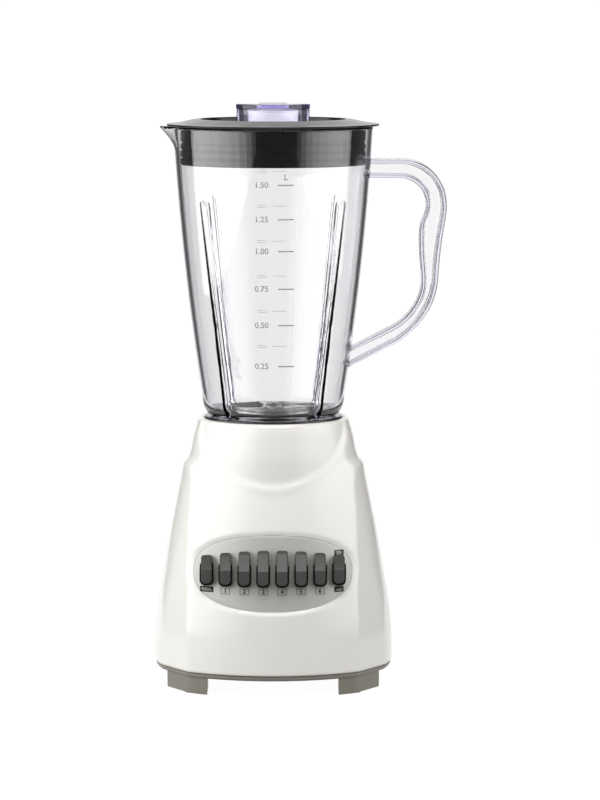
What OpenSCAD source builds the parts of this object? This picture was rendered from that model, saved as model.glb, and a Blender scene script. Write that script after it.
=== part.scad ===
// Countertop blender: a motor base with a row of push keys, a clear jar, a lid and a cap.
// Millimetres. The origin is on the motor's axis, on the surface that the feet stand on.
// +Z is up, the keys face -Y, the handle is at +X and the spout at -X.

/* [Base] */
// Width of the base at its widest
base_w = 164.4; // [156:0.2:200]
// Depth of the base, front to back
base_d = 155.2; // [146:0.2:190]
// Height of the base's top deck above the counter
deck_z = 183; // [178:1:225]
// Height of the feet under the base plate
foot_h = 11.5; // [9:0.5:16]
// Visible height of the base plate's rim
plate_rim = 3.5; // [3:0.5:6]
// Wall of the housing
housing_wall = 2.8; // [2.2:0.1:3.4]
// Radius of the round neck at the deck
neck_r = 52; // [50:0.5:58]
// Radius of the bulge across the front and the back
front_bulge_r = 105; // [98:1:140]
// Radius of the bulge along each side
side_bulge_r = 100; // [95:1:140]
// Direction of the corner screws, measured from the sides
corner_a = 33.6; // [30:0.2:38]

/* [Controls] */
// Width of the oval control panel
panel_w = 108; // [104:1:114]
// Height of the oval control panel
panel_h = 52; // [44:1:56]
// Height of the panel's centre above the counter
panel_z = 84; // [80:1:100]
// Distance between neighbouring keys
key_pitch = 12.8; // [12:0.1:13.2]
// Width of a key's finger face
key_w = 7.2; // [5.5:0.1:7.6]
// Length of the longest key, up the panel
key_l = 24; // [20:0.5:26]
// How far a key stands out of the panel
key_out = 11; // [8:0.5:13]
// How much lower the outer keys begin than the middle ones
key_arc = 4.5; // [0:0.5:6]
// Travel of a key
key_travel = 3.5; // [2:0.5:4]

/* [Jar] */
// Height of the jar's wall, from its foot to its rim
jar_h = 198.5; // [170:0.5:240]
// Outer radius of the jar at its rim
jar_top_r = 68.7; // [66:0.1:80]
// Outer radius of the jar just above its rounded bottom
jar_low_r = 49; // [47:0.1:56]
// How far the jar's side bows out from a straight line
jar_bow = 2.3; // [0:0.1:4]
// Wall of the jar
jar_wall = 3; // [2.4:0.1:3.6]
// Depth of the four flutes at the foot
flute_d = 6; // [3:0.5:7]
// Width of a flute
flute_w = 8; // [6:0.5:9]
// Height of a flute
flute_h = 146; // [110:1:160]
// How far the spout reaches beyond the rim
spout_out = 9.6; // [6:0.2:13]
// How far the handle reaches from the jar's axis
handle_reach = 119; // [112:0.5:132]
// Thickness of the handle's grip at the finger rest
grip_t = 19.2; // [17:0.2:22]
// Width of the handle, across the grip
handle_w = 17; // [14:0.5:22]

/* [Lid] */
// Outer radius of the lid's brim
lid_r = 73; // [71:0.2:86]
// How far the lid's skirt reaches down into the jar
skirt_h = 26; // [18:0.5:32]
// Radius of the measuring cap
cap_r = 25.1; // [22:0.1:30]
// Height of the measuring cap above the lid's raised ring
cap_up = 10.4; // [8:0.2:16]

/* [Motor] */
// Width of the stator stack
stator_w = 84; // [80:1:86]
// Depth of the stator stack
stator_d = 68; // [64:1:70]
// Height of the stator stack
stator_h = 38; // [30:1:44]
// Radius of the armature
armature_r = 22; // [20:0.5:24]
// Radius of the motor shaft
shaft_r = 4; // [3:0.25:5]
// Radius of the cooling fan
fan_r = 33; // [28:0.5:36]
// Radius of the blades' sweep
blade_r = 26.4; // [22:0.2:27]

/* [Fits] */
// Gap between pieces that move past each other
gap = 0.3; // [0.2:0.05:0.5]
// Radial clearance of a shaft in its bearing
run_fit = 0.05; // [0.02:0.01:0.08]
// Radius of the hole through the cord inlet
inlet_r = 3.6; // [3:0.1:4.5]

/* [Hidden] */
$fn = 96;

// Base shell: heights are shares of the shell's height, and insets are millimetres.
seam_z = foot_h + plate_rim;
shell_h = deck_z - seam_z;
side_shape = [
    [0, 0], [0.14, 0], [0.21, 1.6], [0.38, 6.2], [0.55, 11.2], [0.755, 18.2],
    [0.815, 19.8], [0.83, 21.4], [0.84, 24], [0.93, 27.5], [1, 31]
];
front_shape = [
    [0, 0], [0.14, 0], [0.25, 1.4], [0.38, 4.6], [0.565, 11.5], [0.755, 20.6], [0.88, 29],
    [0.97, 35.6], [1, 38]
];
neck_shape = [[0.66, 4.9], [0.77, 4.6], [0.85, 4.1], [0.92, 2.6], [0.975, 0.8], [1, -0.8]];
// How far the bottom outline reaches in the corner screws' direction.
side_set = side_bulge_r - base_w / 2;
front_set = front_bulge_r - base_d / 2;
corner_reach = min(
    sqrt(pow(side_bulge_r, 2) - pow(side_set * sin(corner_a), 2)) - side_set * cos(corner_a),
    sqrt(pow(front_bulge_r, 2) - pow(front_set * cos(corner_a), 2)) - front_set * sin(corner_a)
);

// Jar seat: a well in the deck, a rubber ring round it, and the collar inside it.
collar_r = 37.4;
well_r = collar_r + 1;
well_wall = 2.5;
well_depth = 15;
well_z = deck_z - well_depth;
seat_ring_r = 47.5;
seat_ring_t = 3;
seat_sunk = 1.5;
seat_top = deck_z - seat_sunk + seat_ring_t;
foot_z = seat_top + 0.2;

// Jar, from its foot up.
rim_z = foot_z + jar_h;
jar_round_h = 12.3;
jar_foot_r = 41.5;
jar_floor_t = 3;
neck_in_r = 31;
neck_out_r = 34;
neck_drop = 10.7;
thread_gap = 0.15;
bow_steps = 14;

// Lid and cap.
brim_z = rim_z + gap;
brim_t = 1.5;
ring_up = 4.5;
ring_r = 52;
ring_z = brim_z + ring_up;
deck_drop = 8;
lid_wall = 2.4;
skirt_r = jar_out_r(rim_z - skirt_h) - jar_wall - 0.6;
cap_z = ring_z + cap_up;

// Motor, from the base plate up.
plate_t = 2.5;
floor_z = foot_h + plate_t;
mount_x = 40;
mount_y = 26;
fan_z = floor_z + 32;
fan_h = 11;
bracket_z = fan_z + fan_h + 3;
bracket_t = 3;
grommet_t = 3;
commutator_r = 13;
commutator_h = 12;
commutator_z = bracket_z + bracket_t + 5;
stator_z = commutator_z + commutator_h + 12;
top_bracket_z = stator_z + stator_h + 11;
tie_x = stator_w / 2 - 4;
tie_y = 10;
tie_r = 2;
bearing_r = 9;
bearing_h = 7.5;

// Couplings between the motor and the blades.
lug_n = 6;
lug_r = 10;
hub_r = 7.4;
drive_z = well_z + 1;
drive_h = 6.5;
driven_z = drive_z + 2;
driven_h = 8.8;
socket_h = drive_z + drive_h + 0.7 - driven_z;
driven_r = 14.5;

// Blade unit.
blade_shaft_r = 3.2;
dish_r = 30.4;
dish_t = 1.5;
dish_floor_z = foot_z - 1.7;
dish_rim_z = foot_z + jar_floor_t + 2.8;
bushing_r = 7;
blade_z = dish_floor_z + 2.8;
blade_t = 1.5;

// Control panel: its plane leans back, and the keys slide along its normal.
panel_tilt = 12;
panel_sunk = 1;
oval_pow = 0.85;
flange_t = 1.4;
flange_w = 2.4;
key_n = 8;
bank_y = 50;
bank_w = 106;
bank_h = 26;
bank_t = 12;
slot_w = 4;
slot_h = 6;
post_r = 4.5;
screw_r = 1.5;

overrun = 20;
// Turns the neck's own start line away from the body's.
neck_turn = 37;
function share_z(s) = seam_z + s * shell_h;
// A side's outline in reach and height, run past both ends of the shell.
function side_outline(shape, half, inset) = concat(
    [[0, seam_z - overrun], [half - inset, seam_z - overrun]],
    [for (i = [1:len(shape) - 1]) [half - shape[i][1] - inset, share_z(shape[i][0])]],
    [[half - shape[len(shape) - 1][1] - inset, deck_z + overrun], [0, deck_z + overrun]]
);
function lookup_in(shape, z) = lookup((z - seam_z) / shell_h, shape);
// How far the front surface stands from the axis, at a height and a distance to the side.
function front_y(z, x) =
    sqrt(pow(front_bulge_r - lookup_in(front_shape, z), 2) - x * x) - (front_bulge_r - base_d / 2);
// The jar's outer radius at a height.
function jar_out_r(z) =
    let (low = foot_z + jar_round_h, t = (z - low) / (rim_z - low))
    jar_low_r + (jar_top_r - jar_low_r) * t + 4 * jar_bow * t * (1 - t);
function key_x(i) = (i - (key_n - 1) / 2) * key_pitch;
function key_low(i) = key_arc * pow(key_x(i) / key_x(0), 2);
function bezier(p, t) =
    pow(1 - t, 3) * p[0] + 3 * t * pow(1 - t, 2) * p[1] + 3 * t * t * (1 - t) * p[2]
    + pow(t, 3) * p[3];
function curve(p, n) = [for (i = [0:n - 1]) bezier(p, i / n)];

// Rectangle with round corners, centred.
module round_rect(w, h, r) {
    square([w - 2 * r, h], center = true);
    square([w, h - 2 * r], center = true);
    for (x = [-1, 1], y = [-1, 1])
        translate([x * (w / 2 - r), y * (h / 2 - r)]) circle(r, $fn = 32);
}

module tube(r_out, r_in, h) {
    difference() {
        cylinder(r = r_out, h = h);
        translate([0, 0, -1]) cylinder(r = r_in, h = h + 2);
    }
}

// The shell's body, between the bulged front, back and sides.
module shell_body(inset, low) {
    intersection() {
        bulged_side(front_shape, front_bulge_r, base_d / 2, 90, inset);
        bulged_side(front_shape, front_bulge_r, base_d / 2, -90, inset);
        bulged_side(side_shape, side_bulge_r, base_w / 2, 0, inset);
        bulged_side(side_shape, side_bulge_r, base_w / 2, 180, inset);
        height_slab(low, deck_z - inset);
    }
}

module height_slab(low, high) {
    translate([0, 0, low]) cylinder(r = base_w, h = high - low);
}

// One bulged side: a turned solid whose axis stands behind the surface it makes.
module bulged_side(shape, bulge_r, half, turn, inset) {
    rotate([0, 0, turn]) translate([half - bulge_r, 0, 0]) rotate([0, 0, 180])
        rotate_extrude($fn = 180) polygon(side_outline(shape, bulge_r, inset));
}

module neck_body(inset) {
    last = len(neck_shape) - 1;
    intersection() {
        rotate([0, 0, neck_turn]) rotate_extrude($fn = 180) polygon(concat(
            [[0, share_z(neck_shape[0][0])]],
            [for (p = neck_shape) [neck_r + p[1] - inset, share_z(p[0])]],
            [[neck_r + neck_shape[last][1] - inset, deck_z + overrun], [0, deck_z + overrun]]
        ));
        height_slab(seam_z, deck_z - inset);
    }
}

module shell_solid(inset, low) {
    shell_body(inset, low);
    neck_body(inset);
}

// An oval prism through the front wall, in the panel's leaning frame.
module panel_prism(grow) {
    a = panel_w / 2 + grow;
    b = panel_h / 2 + grow;
    panel_frame() translate([0, 0, -40]) linear_extrude(80) polygon([
        for (i = [0:59]) let (c = cos(i * 6), s = sin(i * 6))
            [a * sign(c) * pow(abs(c), oval_pow), b * sign(s) * pow(abs(s), oval_pow)]
    ]);
}

module panel_frame() {
    translate([0, -front_y(panel_z, 0), panel_z]) rotate([90 - panel_tilt, 0, 0]) children();
}

// A key's own frame: on the panel's surface, Y up the panel and Z out of it.
module key_frame(i) {
    translate([key_x(i), -front_y(panel_z, key_x(i)), panel_z])
        rotate([90 - panel_tilt, 0, 0]) children();
}

module bank_frame() {
    translate([0, -bank_y, panel_z]) rotate([90 - panel_tilt, 0, 0]) children();
}

// How far key i's axis lies below the bank's centre, and how far its panel point lies out.
function key_drop(i) = -sin(panel_tilt) * (front_y(panel_z, key_x(i)) - bank_y);
function key_reach(i) = cos(panel_tilt) * (front_y(panel_z, key_x(i)) - bank_y);

module at_corners(r) {
    for (x = [-1, 1], y = [-1, 1])
        translate([x * r * cos(corner_a), y * r * sin(corner_a), 0]) children();
}

module at_mounts() {
    for (x = [-1, 1], y = [-1, 1]) translate([x * mount_x, y * mount_y, 0]) children();
}

module at_ties() {
    for (x = [-1, 1], y = [-1, 1]) translate([x * tie_x, y * tie_y, 0]) children();
}

post_in = 10.5;
post_at = corner_reach - housing_wall - post_in;
post_top = seam_z + 24;
post_rib_t = 3;
plate_lip = 3;
inlet_z = seam_z + 15;
inlet_out_r = 8;
inlet_len = 12;

// Ribs that tie the screw posts to the housing's wall, clear of the plate's lip.
module post_ribs() {
    low = seam_z + plate_lip + 0.8;
    for (x = [0, 1], y = [0, 1]) mirror([x, 0, 0]) mirror([0, y, 0])
        rotate([0, 0, corner_a]) translate([post_at, -post_rib_t / 2, low])
            cube([post_in + housing_wall * 0.3, post_rib_t, post_top - 1 - low]);
}

module motor_housing() {
    color("white") difference() {
        union() {
            difference() {
                shell_solid(0, seam_z);
                shell_solid(housing_wall, seam_z - 1);
            }
            translate([0, 0, well_z - well_wall])
                cylinder(r = well_r + well_wall, h = well_depth + well_wall - seat_sunk);
            at_corners(post_at) translate([0, 0, seam_z])
                cylinder(r = post_r, h = post_top - seam_z);
            post_ribs();
        }
        translate([0, 0, well_z]) cylinder(r = well_r, h = well_depth + 1);
        translate([0, 0, well_z - 10]) cylinder(r = shaft_r + 2, h = 20);
        translate([0, 0, deck_z - seat_sunk]) cylinder(r = seat_ring_r + 0.2, h = 5);
        panel_prism(0.15);
        at_corners(post_at) translate([0, 0, seam_z - 1]) cylinder(r = screw_r, h = 20);
        translate([0, base_d / 2 - 20, inlet_z]) rotate([-90, 0, 0])
            cylinder(r = inlet_out_r + 0.05, h = 40);
        cooling_slots();
    }
}

// Louvres low in the rear wall, where the fan's air leaves.
slot_n = 7;
slot_pitch = 7;
module cooling_slots() {
    for (i = [0:slot_n - 1])
        translate([0, base_d / 2 - 10, share_z(0.26) + i * slot_pitch])
            translate([-22, 0, 0]) cube([44, 20, 2.6]);
}

// The plate's outline, inset from the housing's bottom edge.
module plate_outline(inset, z0, z1) {
    intersection() {
        bulged_slab(90, base_d / 2, front_bulge_r, inset, z0, z1);
        bulged_slab(-90, base_d / 2, front_bulge_r, inset, z0, z1);
        bulged_slab(0, base_w / 2, side_bulge_r, inset, z0, z1);
        bulged_slab(180, base_w / 2, side_bulge_r, inset, z0, z1);
    }
}

module bulged_slab(turn, half, bulge_r, inset, z0, z1) {
    rotate([0, 0, turn]) translate([half - bulge_r, 0, z0])
        cylinder(r = bulge_r - inset, h = z1 - z0, $fn = 180);
}

foot_in = 9.6;
foot_w = 28;
foot_d = 34;
foot_back = 10;
pad_r = 6;
pad_t = 2.5;
pad_out = 0.8;
module base_plate() {
    color("silver") difference() {
        union() {
            plate_outline(0.8, foot_h, floor_z);
            difference() {
                plate_outline(0.8, floor_z - 1, seam_z - 0.2);
                plate_outline(housing_wall + 0.6, floor_z, seam_z + 1);
            }
            difference() {
                plate_outline(housing_wall + 0.3, floor_z - 1, seam_z + plate_lip - 0.2);
                plate_outline(housing_wall + 2.1, floor_z, seam_z + 10);
            }
            feet();
            at_mounts() translate([0, 0, floor_z - 1])
                cylinder(r = 5, h = bracket_z - grommet_t - floor_z + 1);
            at_corners(post_at) translate([0, 0, foot_h])
                cylinder(r = post_r, h = seam_z - foot_h - 0.2);
        }
        at_corners(post_at) translate([0, 0, seam_z - 0.2]) cylinder(r = post_r + gap, h = 20);
        at_mounts() translate([0, 0, bracket_z - 20]) cylinder(r = screw_r, h = 20);
        at_corners(post_at) translate([0, 0, -1]) cylinder(r = screw_r + 0.3, h = 40);
        at_corners(post_at) translate([0, 0, -1]) cylinder(r = 3.6, h = foot_h + 1);
        foot_pad_sites() translate([0, 0, -1]) cylinder(r = pad_r + 0.05, h = pad_t + 1);
        for (i = [-4:4]) translate([i * 7 - 1.6, -24, foot_h - 1]) cube([3.2, 48, 10]);
    }
}

module feet() {
    intersection() {
        plate_outline(2.2, pad_out, foot_h + 1);
        for (x = [-1, 1], y = [-1, 1])
            translate([x * (base_w / 2 - foot_in - foot_w / 2),
                y * (base_d / 2 - foot_back - foot_d / 2), foot_h / 2])
                cube([foot_w, foot_d, foot_h + 2], center = true);
    }
}

pad_x = base_w / 2 - foot_in - foot_w + 9.4;
pad_y = base_d / 2 - foot_back - foot_d / 2;
module foot_pad_sites() {
    for (x = [-1, 1], y = [-1, 1]) translate([x * pad_x, y * pad_y, 0]) children();
}

module foot_pads() {
    color("dimgray") foot_pad_sites() cylinder(r = pad_r, h = pad_t);
}

module base_screws() {
    color("silver") at_corners(post_at) {
        translate([0, 0, foot_h - 2.4]) cylinder(r = 3, h = 2.4);
        translate([0, 0, foot_h - 1]) cylinder(r = screw_r, h = 17);
    }
}

// A band of the shell's surface, between two depths below it.
module front_band(near, far) {
    difference() {
        bulged_side(front_shape, front_bulge_r, base_d / 2, -90, near);
        bulged_side(front_shape, front_bulge_r, base_d / 2, -90, far);
    }
}

module front_only() {
    intersection() {
        children();
        translate([-base_w, -base_d, 0]) cube([2 * base_w, base_d - 30, deck_z]);
    }
}

key_hole_w = key_w + 2 * gap;
module control_panel() {
    color("silver") difference() {
        union() {
            front_only() intersection() {
                front_band(panel_sunk, housing_wall + 0.1);
                panel_prism(0);
            }
            front_only() intersection() {
                front_band(housing_wall + 0.05, housing_wall + 0.05 + flange_t);
                shell_body(housing_wall + 0.05, seam_z - 1);
                panel_prism(flange_w);
            }
        }
        for (i = [0:key_n - 1]) key_frame(i) translate([0, 0, -30]) linear_extrude(60) {
            collar_outline(0);
            key_outline(i, gap);
        }
    }
}

collar_w = 9.4;
collar_low = -9.2;
collar_l = 15.4;
collar_out = 4.6;
// Outline of a key's collar: square at the top, round at the bottom.
module collar_outline(inset) {
    w = collar_w - 2 * inset;
    translate([-w / 2, collar_low + collar_w / 2]) square([w, collar_l - collar_w / 2 - inset]);
    translate([0, collar_low + collar_w / 2]) circle(d = w, $fn = 40);
}

// The cavity that a key slides in: the finger's outline with a gap all round.
module key_outline(i, grow) {
    w = key_w + 2 * grow;
    low = key_low_end - grow;
    high = key_high_end(i) + grow;
    translate([-w / 2, low + w / 2]) square([w, high - low - w]);
    translate([0, low + w / 2]) circle(d = w, $fn = 40);
    translate([0, high - w / 2]) circle(d = w, $fn = 40);
}

key_low_end = collar_low + (collar_w - key_w) / 2 + 0.05;
function key_high_end(i) = key_low_end + key_l - key_low(i);

module key_collars() {
    color("#262621") for (i = [0:key_n - 1]) key_frame(i) difference() {
        translate([0, 0, -4.4]) linear_extrude(4.4 + collar_out) collar_outline(0.1);
        translate([0, 0, -10]) linear_extrude(40) key_slot();
        translate([-10, 1, 1.2]) rotate([-35, 0, 0]) cube([20, 20, 20]);
    }
}

// Slot through a collar: the finger's lower part, with its gap, open towards the top.
module key_slot() {
    w = key_w + 2 * gap;
    low = key_low_end - gap;
    translate([-w / 2, low + w / 2]) square([w, 40]);
    translate([0, low + w / 2]) circle(d = w, $fn = 40);
}

// A key: a wedge-shaped finger on a flat stem that slides in the switch bank.
module key(i) {
    edge_y = key_low_end + 9.2;
    stem_len = key_reach(i) + bank_t / 2 - key_travel - 1;
    key_frame(i) {
        intersection() {
            translate([0, 0, -3]) linear_extrude(key_out + 6) key_outline(i, 0);
            translate([-key_w, 0, 0]) rotate([90, 0, 90]) linear_extrude(2 * key_w) polygon([
                [key_low_end - 1, -3], [key_low_end - 1, key_out * 0.66], [edge_y, key_out],
                [key_high_end(i) - 2, 2.4 + key_travel], [key_high_end(i) + 1, key_travel],
                [key_high_end(i) + 1, -3]
            ]);
        }
        translate([-slot_w / 2 + gap, -slot_h / 2 + gap, -stem_len])
            cube([slot_w - 2 * gap, slot_h - 2 * gap, stem_len]);
    }
}

module switch_bank() {
    color("#3a3a38") bank_frame() difference() {
        translate([-bank_w / 2, -bank_h / 2, -bank_t]) cube([bank_w, bank_h, bank_t]);
        for (i = [0:key_n - 1])
            translate([key_x(i) - slot_w / 2, key_drop(i) - slot_h / 2, -bank_t + 2])
                cube([slot_w, slot_h, bank_t]);
    }
}

module circuit_board() {
    color("darkgreen") translate([-34, base_d / 2 - 33, floor_z + 12]) {
        cube([68, 1.6, 34]);
        for (x = [6, 22, 42]) translate([x, -8, 8]) cube([10, 8, 14]);
        for (x = [3, 61]) translate([x, 0, -12]) cube([4, 4, 16]);
    }
}

module cord_inlet() {
    color("dimgray") translate([0, front_back_y(inlet_z) - housing_wall - 5, inlet_z])
        rotate([-90, 0, 0]) difference() {
            union() {
                cylinder(r = inlet_out_r, h = inlet_len);
                cylinder(r = inlet_out_r + 2, h = 4.2);
            }
            translate([0, 0, -1]) cylinder(r = inlet_r, h = inlet_len + 2);
        }
}
function front_back_y(z) = base_d / 2 - lookup_in(front_shape, z);

module jar_seat_ring() {
    color("#1d1d1f") translate([0, 0, deck_z - seat_sunk])
        rotate_extrude($fn = 120) polygon([
            [well_r + 0.3, 0], [seat_ring_r, 0], [seat_ring_r, seat_ring_t - 0.8],
            [seat_ring_r - 1, seat_ring_t], [well_r + 0.3, seat_ring_t]
        ]);
}

coil_x0 = 25.5;
coil_x1 = 34;
coil_y0 = 18.5;
coil_y1 = 25.5;
module stator_core() {
    color("gray") translate([0, 0, stator_z]) linear_extrude(stator_h) difference() {
        round_rect(stator_w, stator_d, 12);
        circle(armature_r + 0.6);
        for (x = [-1, 1], y = [-1, 1])
            translate([x * (coil_x0 + coil_x1) / 2, y * (coil_y0 + coil_y1) / 2])
                square([coil_x1 - coil_x0, coil_y1 - coil_y0], center = true);
        for (x = [-1, 1], y = [-1, 1]) translate([x * tie_x, y * tie_y]) circle(tie_r + 0.1);
    }
}

module field_coils() {
    end = 7.5;
    color("#a8622b") for (y = [-1, 1])
        translate([0, y * (coil_y0 + coil_y1) / 2, stator_z + stator_h / 2]) rotate([90, 0, 0])
            translate([0, 0, -(coil_y1 - coil_y0) / 2 + 0.2])
                linear_extrude(coil_y1 - coil_y0 - 0.4) difference() {
                    round_rect(2 * coil_x1 - 0.4, stator_h + 2 * end, 7);
                    round_rect(2 * coil_x0 + 0.4, stator_h + 0.4, 0.1);
                }
}

module upper_motor_bracket() {
    color("lightgray") difference() {
        union() {
            translate([0, 0, top_bracket_z]) linear_extrude(bracket_t)
                round_rect(2 * tie_x + 10, 2 * tie_y + 9, 4);
            translate([0, 0, top_bracket_z]) cylinder(r = bearing_r + 3, h = bearing_h + 2);
            at_ties() translate([0, 0, stator_z + stator_h])
                cylinder(r = tie_r + 1.8, h = top_bracket_z - stator_z - stator_h + 1);
        }
        translate([0, 0, top_bracket_z + 1.5]) cylinder(r = bearing_r, h = 20);
        translate([0, 0, top_bracket_z - 1]) cylinder(r = shaft_r + 1, h = 20);
        at_ties() translate([0, 0, stator_z]) cylinder(r = tie_r + 0.1, h = 200);
    }
}

module lower_motor_bracket() {
    color("lightgray") difference() {
        union() {
            translate([0, 0, bracket_z]) linear_extrude(bracket_t)
                round_rect(2 * mount_x + 14, 2 * mount_y + 14, 6);
            translate([0, 0, bracket_z - 2]) cylinder(r = bearing_r + 3, h = bearing_h + 1.5);
            at_ties() translate([0, 0, bracket_z])
                cylinder(r = tie_r + 1.8, h = stator_z - bracket_z);
        }
        translate([0, 0, bracket_z - 3]) cylinder(r = bearing_r, h = bearing_h + 1);
        translate([0, 0, bracket_z - 1]) cylinder(r = shaft_r + 1, h = 20);
        at_ties() translate([0, 0, bracket_z - 5]) cylinder(r = tie_r + 0.1, h = 100);
        at_mounts() translate([0, 0, bracket_z - 5]) cylinder(r = screw_r + 0.3, h = 20);
        for (x = [-1, 1]) translate([x * 24, 0, bracket_z - 1]) cylinder(r = 8, h = 10);
    }
}

module motor_screws() {
    top = top_bracket_z + bracket_t;
    color("silver") at_ties() {
        translate([0, 0, bracket_z - 3]) cylinder(r = tie_r, h = top - bracket_z + 6);
        translate([0, 0, bracket_z - 3]) cylinder(r = tie_r + 1.6, h = 3);
        translate([0, 0, top]) cylinder(r = tie_r + 1.8, h = 2.4, $fn = 6);
    }
}

module motor_grommets() {
    color("#2b2b2b") at_mounts() translate([0, 0, bracket_z - grommet_t])
        tube(6.5, screw_r + 0.3, grommet_t);
}

module motor_mount_screws() {
    color("silver") at_mounts() {
        translate([0, 0, bracket_z - 14]) cylinder(r = screw_r, h = 14 + bracket_t);
        translate([0, 0, bracket_z + bracket_t]) cylinder(r = 3.4, h = 2.2);
    }
}

holder_r = commutator_r + 1.5;
holder_l = 20;
brush_w = 6;
brush_h = 8;
module at_brushes() {
    for (turn = [0, 180]) rotate([0, 0, turn]) translate([0, holder_r, bracket_z + bracket_t])
        children();
}

module brush_holders() {
    color("#8a6b3a") at_brushes() difference() {
        translate([-6, 0, 0]) cube([12, holder_l, 16]);
        translate([-brush_w / 2 - 0.1, -1, 6.9]) cube([brush_w + 0.2, holder_l + 2, brush_h + 0.2]);
    }
}

module carbon_brushes() {
    color("#26262a") at_brushes()
        translate([-brush_w / 2, -1.2, 7]) cube([brush_w, 14, brush_h]);
}

module bearing(z) {
    color("gray") translate([0, 0, z]) tube(bearing_r, shaft_r + run_fit, bearing_h);
}

module upper_bearing() {
    bearing(top_bracket_z + 1.5);
}

module lower_bearing() {
    bearing(bracket_z - 2);
}

module motor_shaft() {
    color("silver") translate([0, 0, fan_z - 3])
        cylinder(r = shaft_r, h = drive_z + drive_h - 2 - fan_z + 3);
}

module armature_core() {
    slots = 12;
    color("gray") translate([0, 0, stator_z + 0.5]) linear_extrude(stator_h - 1) difference() {
        circle(armature_r);
        circle(shaft_r);
        for (i = [0:slots - 1]) rotate(i * 360 / slots)
            translate([armature_r - 3, -1]) square([6, 2]);
    }
}

module armature_windings() {
    color("#b3702f") {
        translate([0, 0, commutator_z + commutator_h]) rotate_extrude() polygon([
            [shaft_r, 0], [10, 0], [armature_r - 4, 6], [armature_r - 4, 12.5], [shaft_r, 12.5]
        ]);
        translate([0, 0, stator_z + stator_h - 0.5]) rotate_extrude() polygon([
            [shaft_r, 0], [armature_r - 4, 0], [armature_r - 4, 5], [12, 8], [shaft_r, 8]
        ]);
    }
}

module commutator() {
    bars = 24;
    color("#c0803c") translate([0, 0, commutator_z]) linear_extrude(commutator_h) difference() {
        circle(commutator_r);
        circle(shaft_r);
        for (i = [0:bars - 1]) rotate(i * 360 / bars)
            translate([commutator_r - 1.2, -0.35]) square([3, 0.7]);
    }
}

module cooling_fan() {
    vanes = 9;
    color("ivory") translate([0, 0, fan_z]) difference() {
        union() {
            cylinder(r = 9, h = fan_h);
            cylinder(r = fan_r, h = 1.8);
            for (i = [0:vanes - 1]) rotate([0, 0, i * 360 / vanes])
                translate([7, 0, 1]) rotate([0, 0, 18]) cube([fan_r - 9.5, 1.8, fan_h - 2]);
        }
        translate([0, 0, -1]) cylinder(r = shaft_r, h = fan_h + 2);
    }
}

// Lugged outline shared by the two halves of the coupling.
module lugs(grow) {
    circle(hub_r + grow);
    for (i = [0:lug_n / 2 - 1]) rotate(i * 360 / lug_n)
        square([2 * (lug_r + grow), 4 + 2 * grow], center = true);
}

module drive_coupling() {
    color("#303030") translate([0, 0, drive_z]) difference() {
        linear_extrude(drive_h) lugs(0);
        translate([0, 0, -1]) cylinder(r = shaft_r, h = drive_h - 1);
    }
}

module driven_coupling() {
    color("#303030") translate([0, 0, driven_z]) difference() {
        cylinder(r = driven_r, h = driven_h);
        translate([0, 0, -1]) linear_extrude(socket_h + 1) lugs(0.4);
        cylinder(r = blade_shaft_r, h = 20);
    }
}

// The jar's outline in radius and height, down the outside wall or up the inside one.
module jar_outline(inset, low_z) {
    low = foot_z + jar_round_h;
    side = [for (i = [0:bow_steps])
        let (z = low + (rim_z - low) * i / bow_steps) [jar_out_r(z) - inset, z]];
    bottom = max(low_z, foot_z);
    turn = [for (i = [0:5])
        let (a = 17.5 * i)
        [jar_foot_r - inset * 0.5 + (jar_low_r - inset * 0.5 - jar_foot_r) * sin(a),
            low - (low - bottom) * cos(a)]];
    polygon(concat([[0, bottom]], turn, side, [[0, rim_z]]));
}

module jar_body(inset, low_z) {
    rotate_extrude($fn = 144) jar_outline(inset, low_z);
}

// Solid between the jar's axis side and a flute's bottom line, used to cut and to line flutes.
module flute_wedge(inset, w) {
    top = foot_z + flute_h;
    for (a = [45:90:315]) rotate([0, 0, a]) rotate([90, 0, 0]) translate([0, 0, -w / 2])
        linear_extrude(w) polygon([
            [jar_out_r(foot_z + jar_round_h) - flute_d - inset, foot_z - 1],
            [jar_out_r(top) - inset * 0.4, top + inset],
            [jar_out_r(top) + 30, top + inset], [jar_out_r(top) + 30, foot_z - 1]
        ]);
}

spout_half_w = 17;
spout_h = 16;
spout_tip_r = 3;
// The spout's outside or inside: a rounded tip drawn back to the wall.
module spout_form(inset) {
    tip_x = -(jar_top_r + spout_out) + spout_tip_r;
    hull($fn = 24) {
        translate([tip_x, 0, rim_z - 2 + (inset > 0 ? 2 : 0)])
            cylinder(r = spout_tip_r - inset, h = 2 + inset);
        for (y = [-1, 1])
            translate([-jar_top_r + 7, y * (spout_half_w - inset), rim_z - 3])
                cylinder(r = 1, h = 3 + inset);
        translate([-jar_top_r + 5, 0, rim_z - spout_h + inset]) cylinder(r = 1, h = 2);
    }
}

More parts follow.
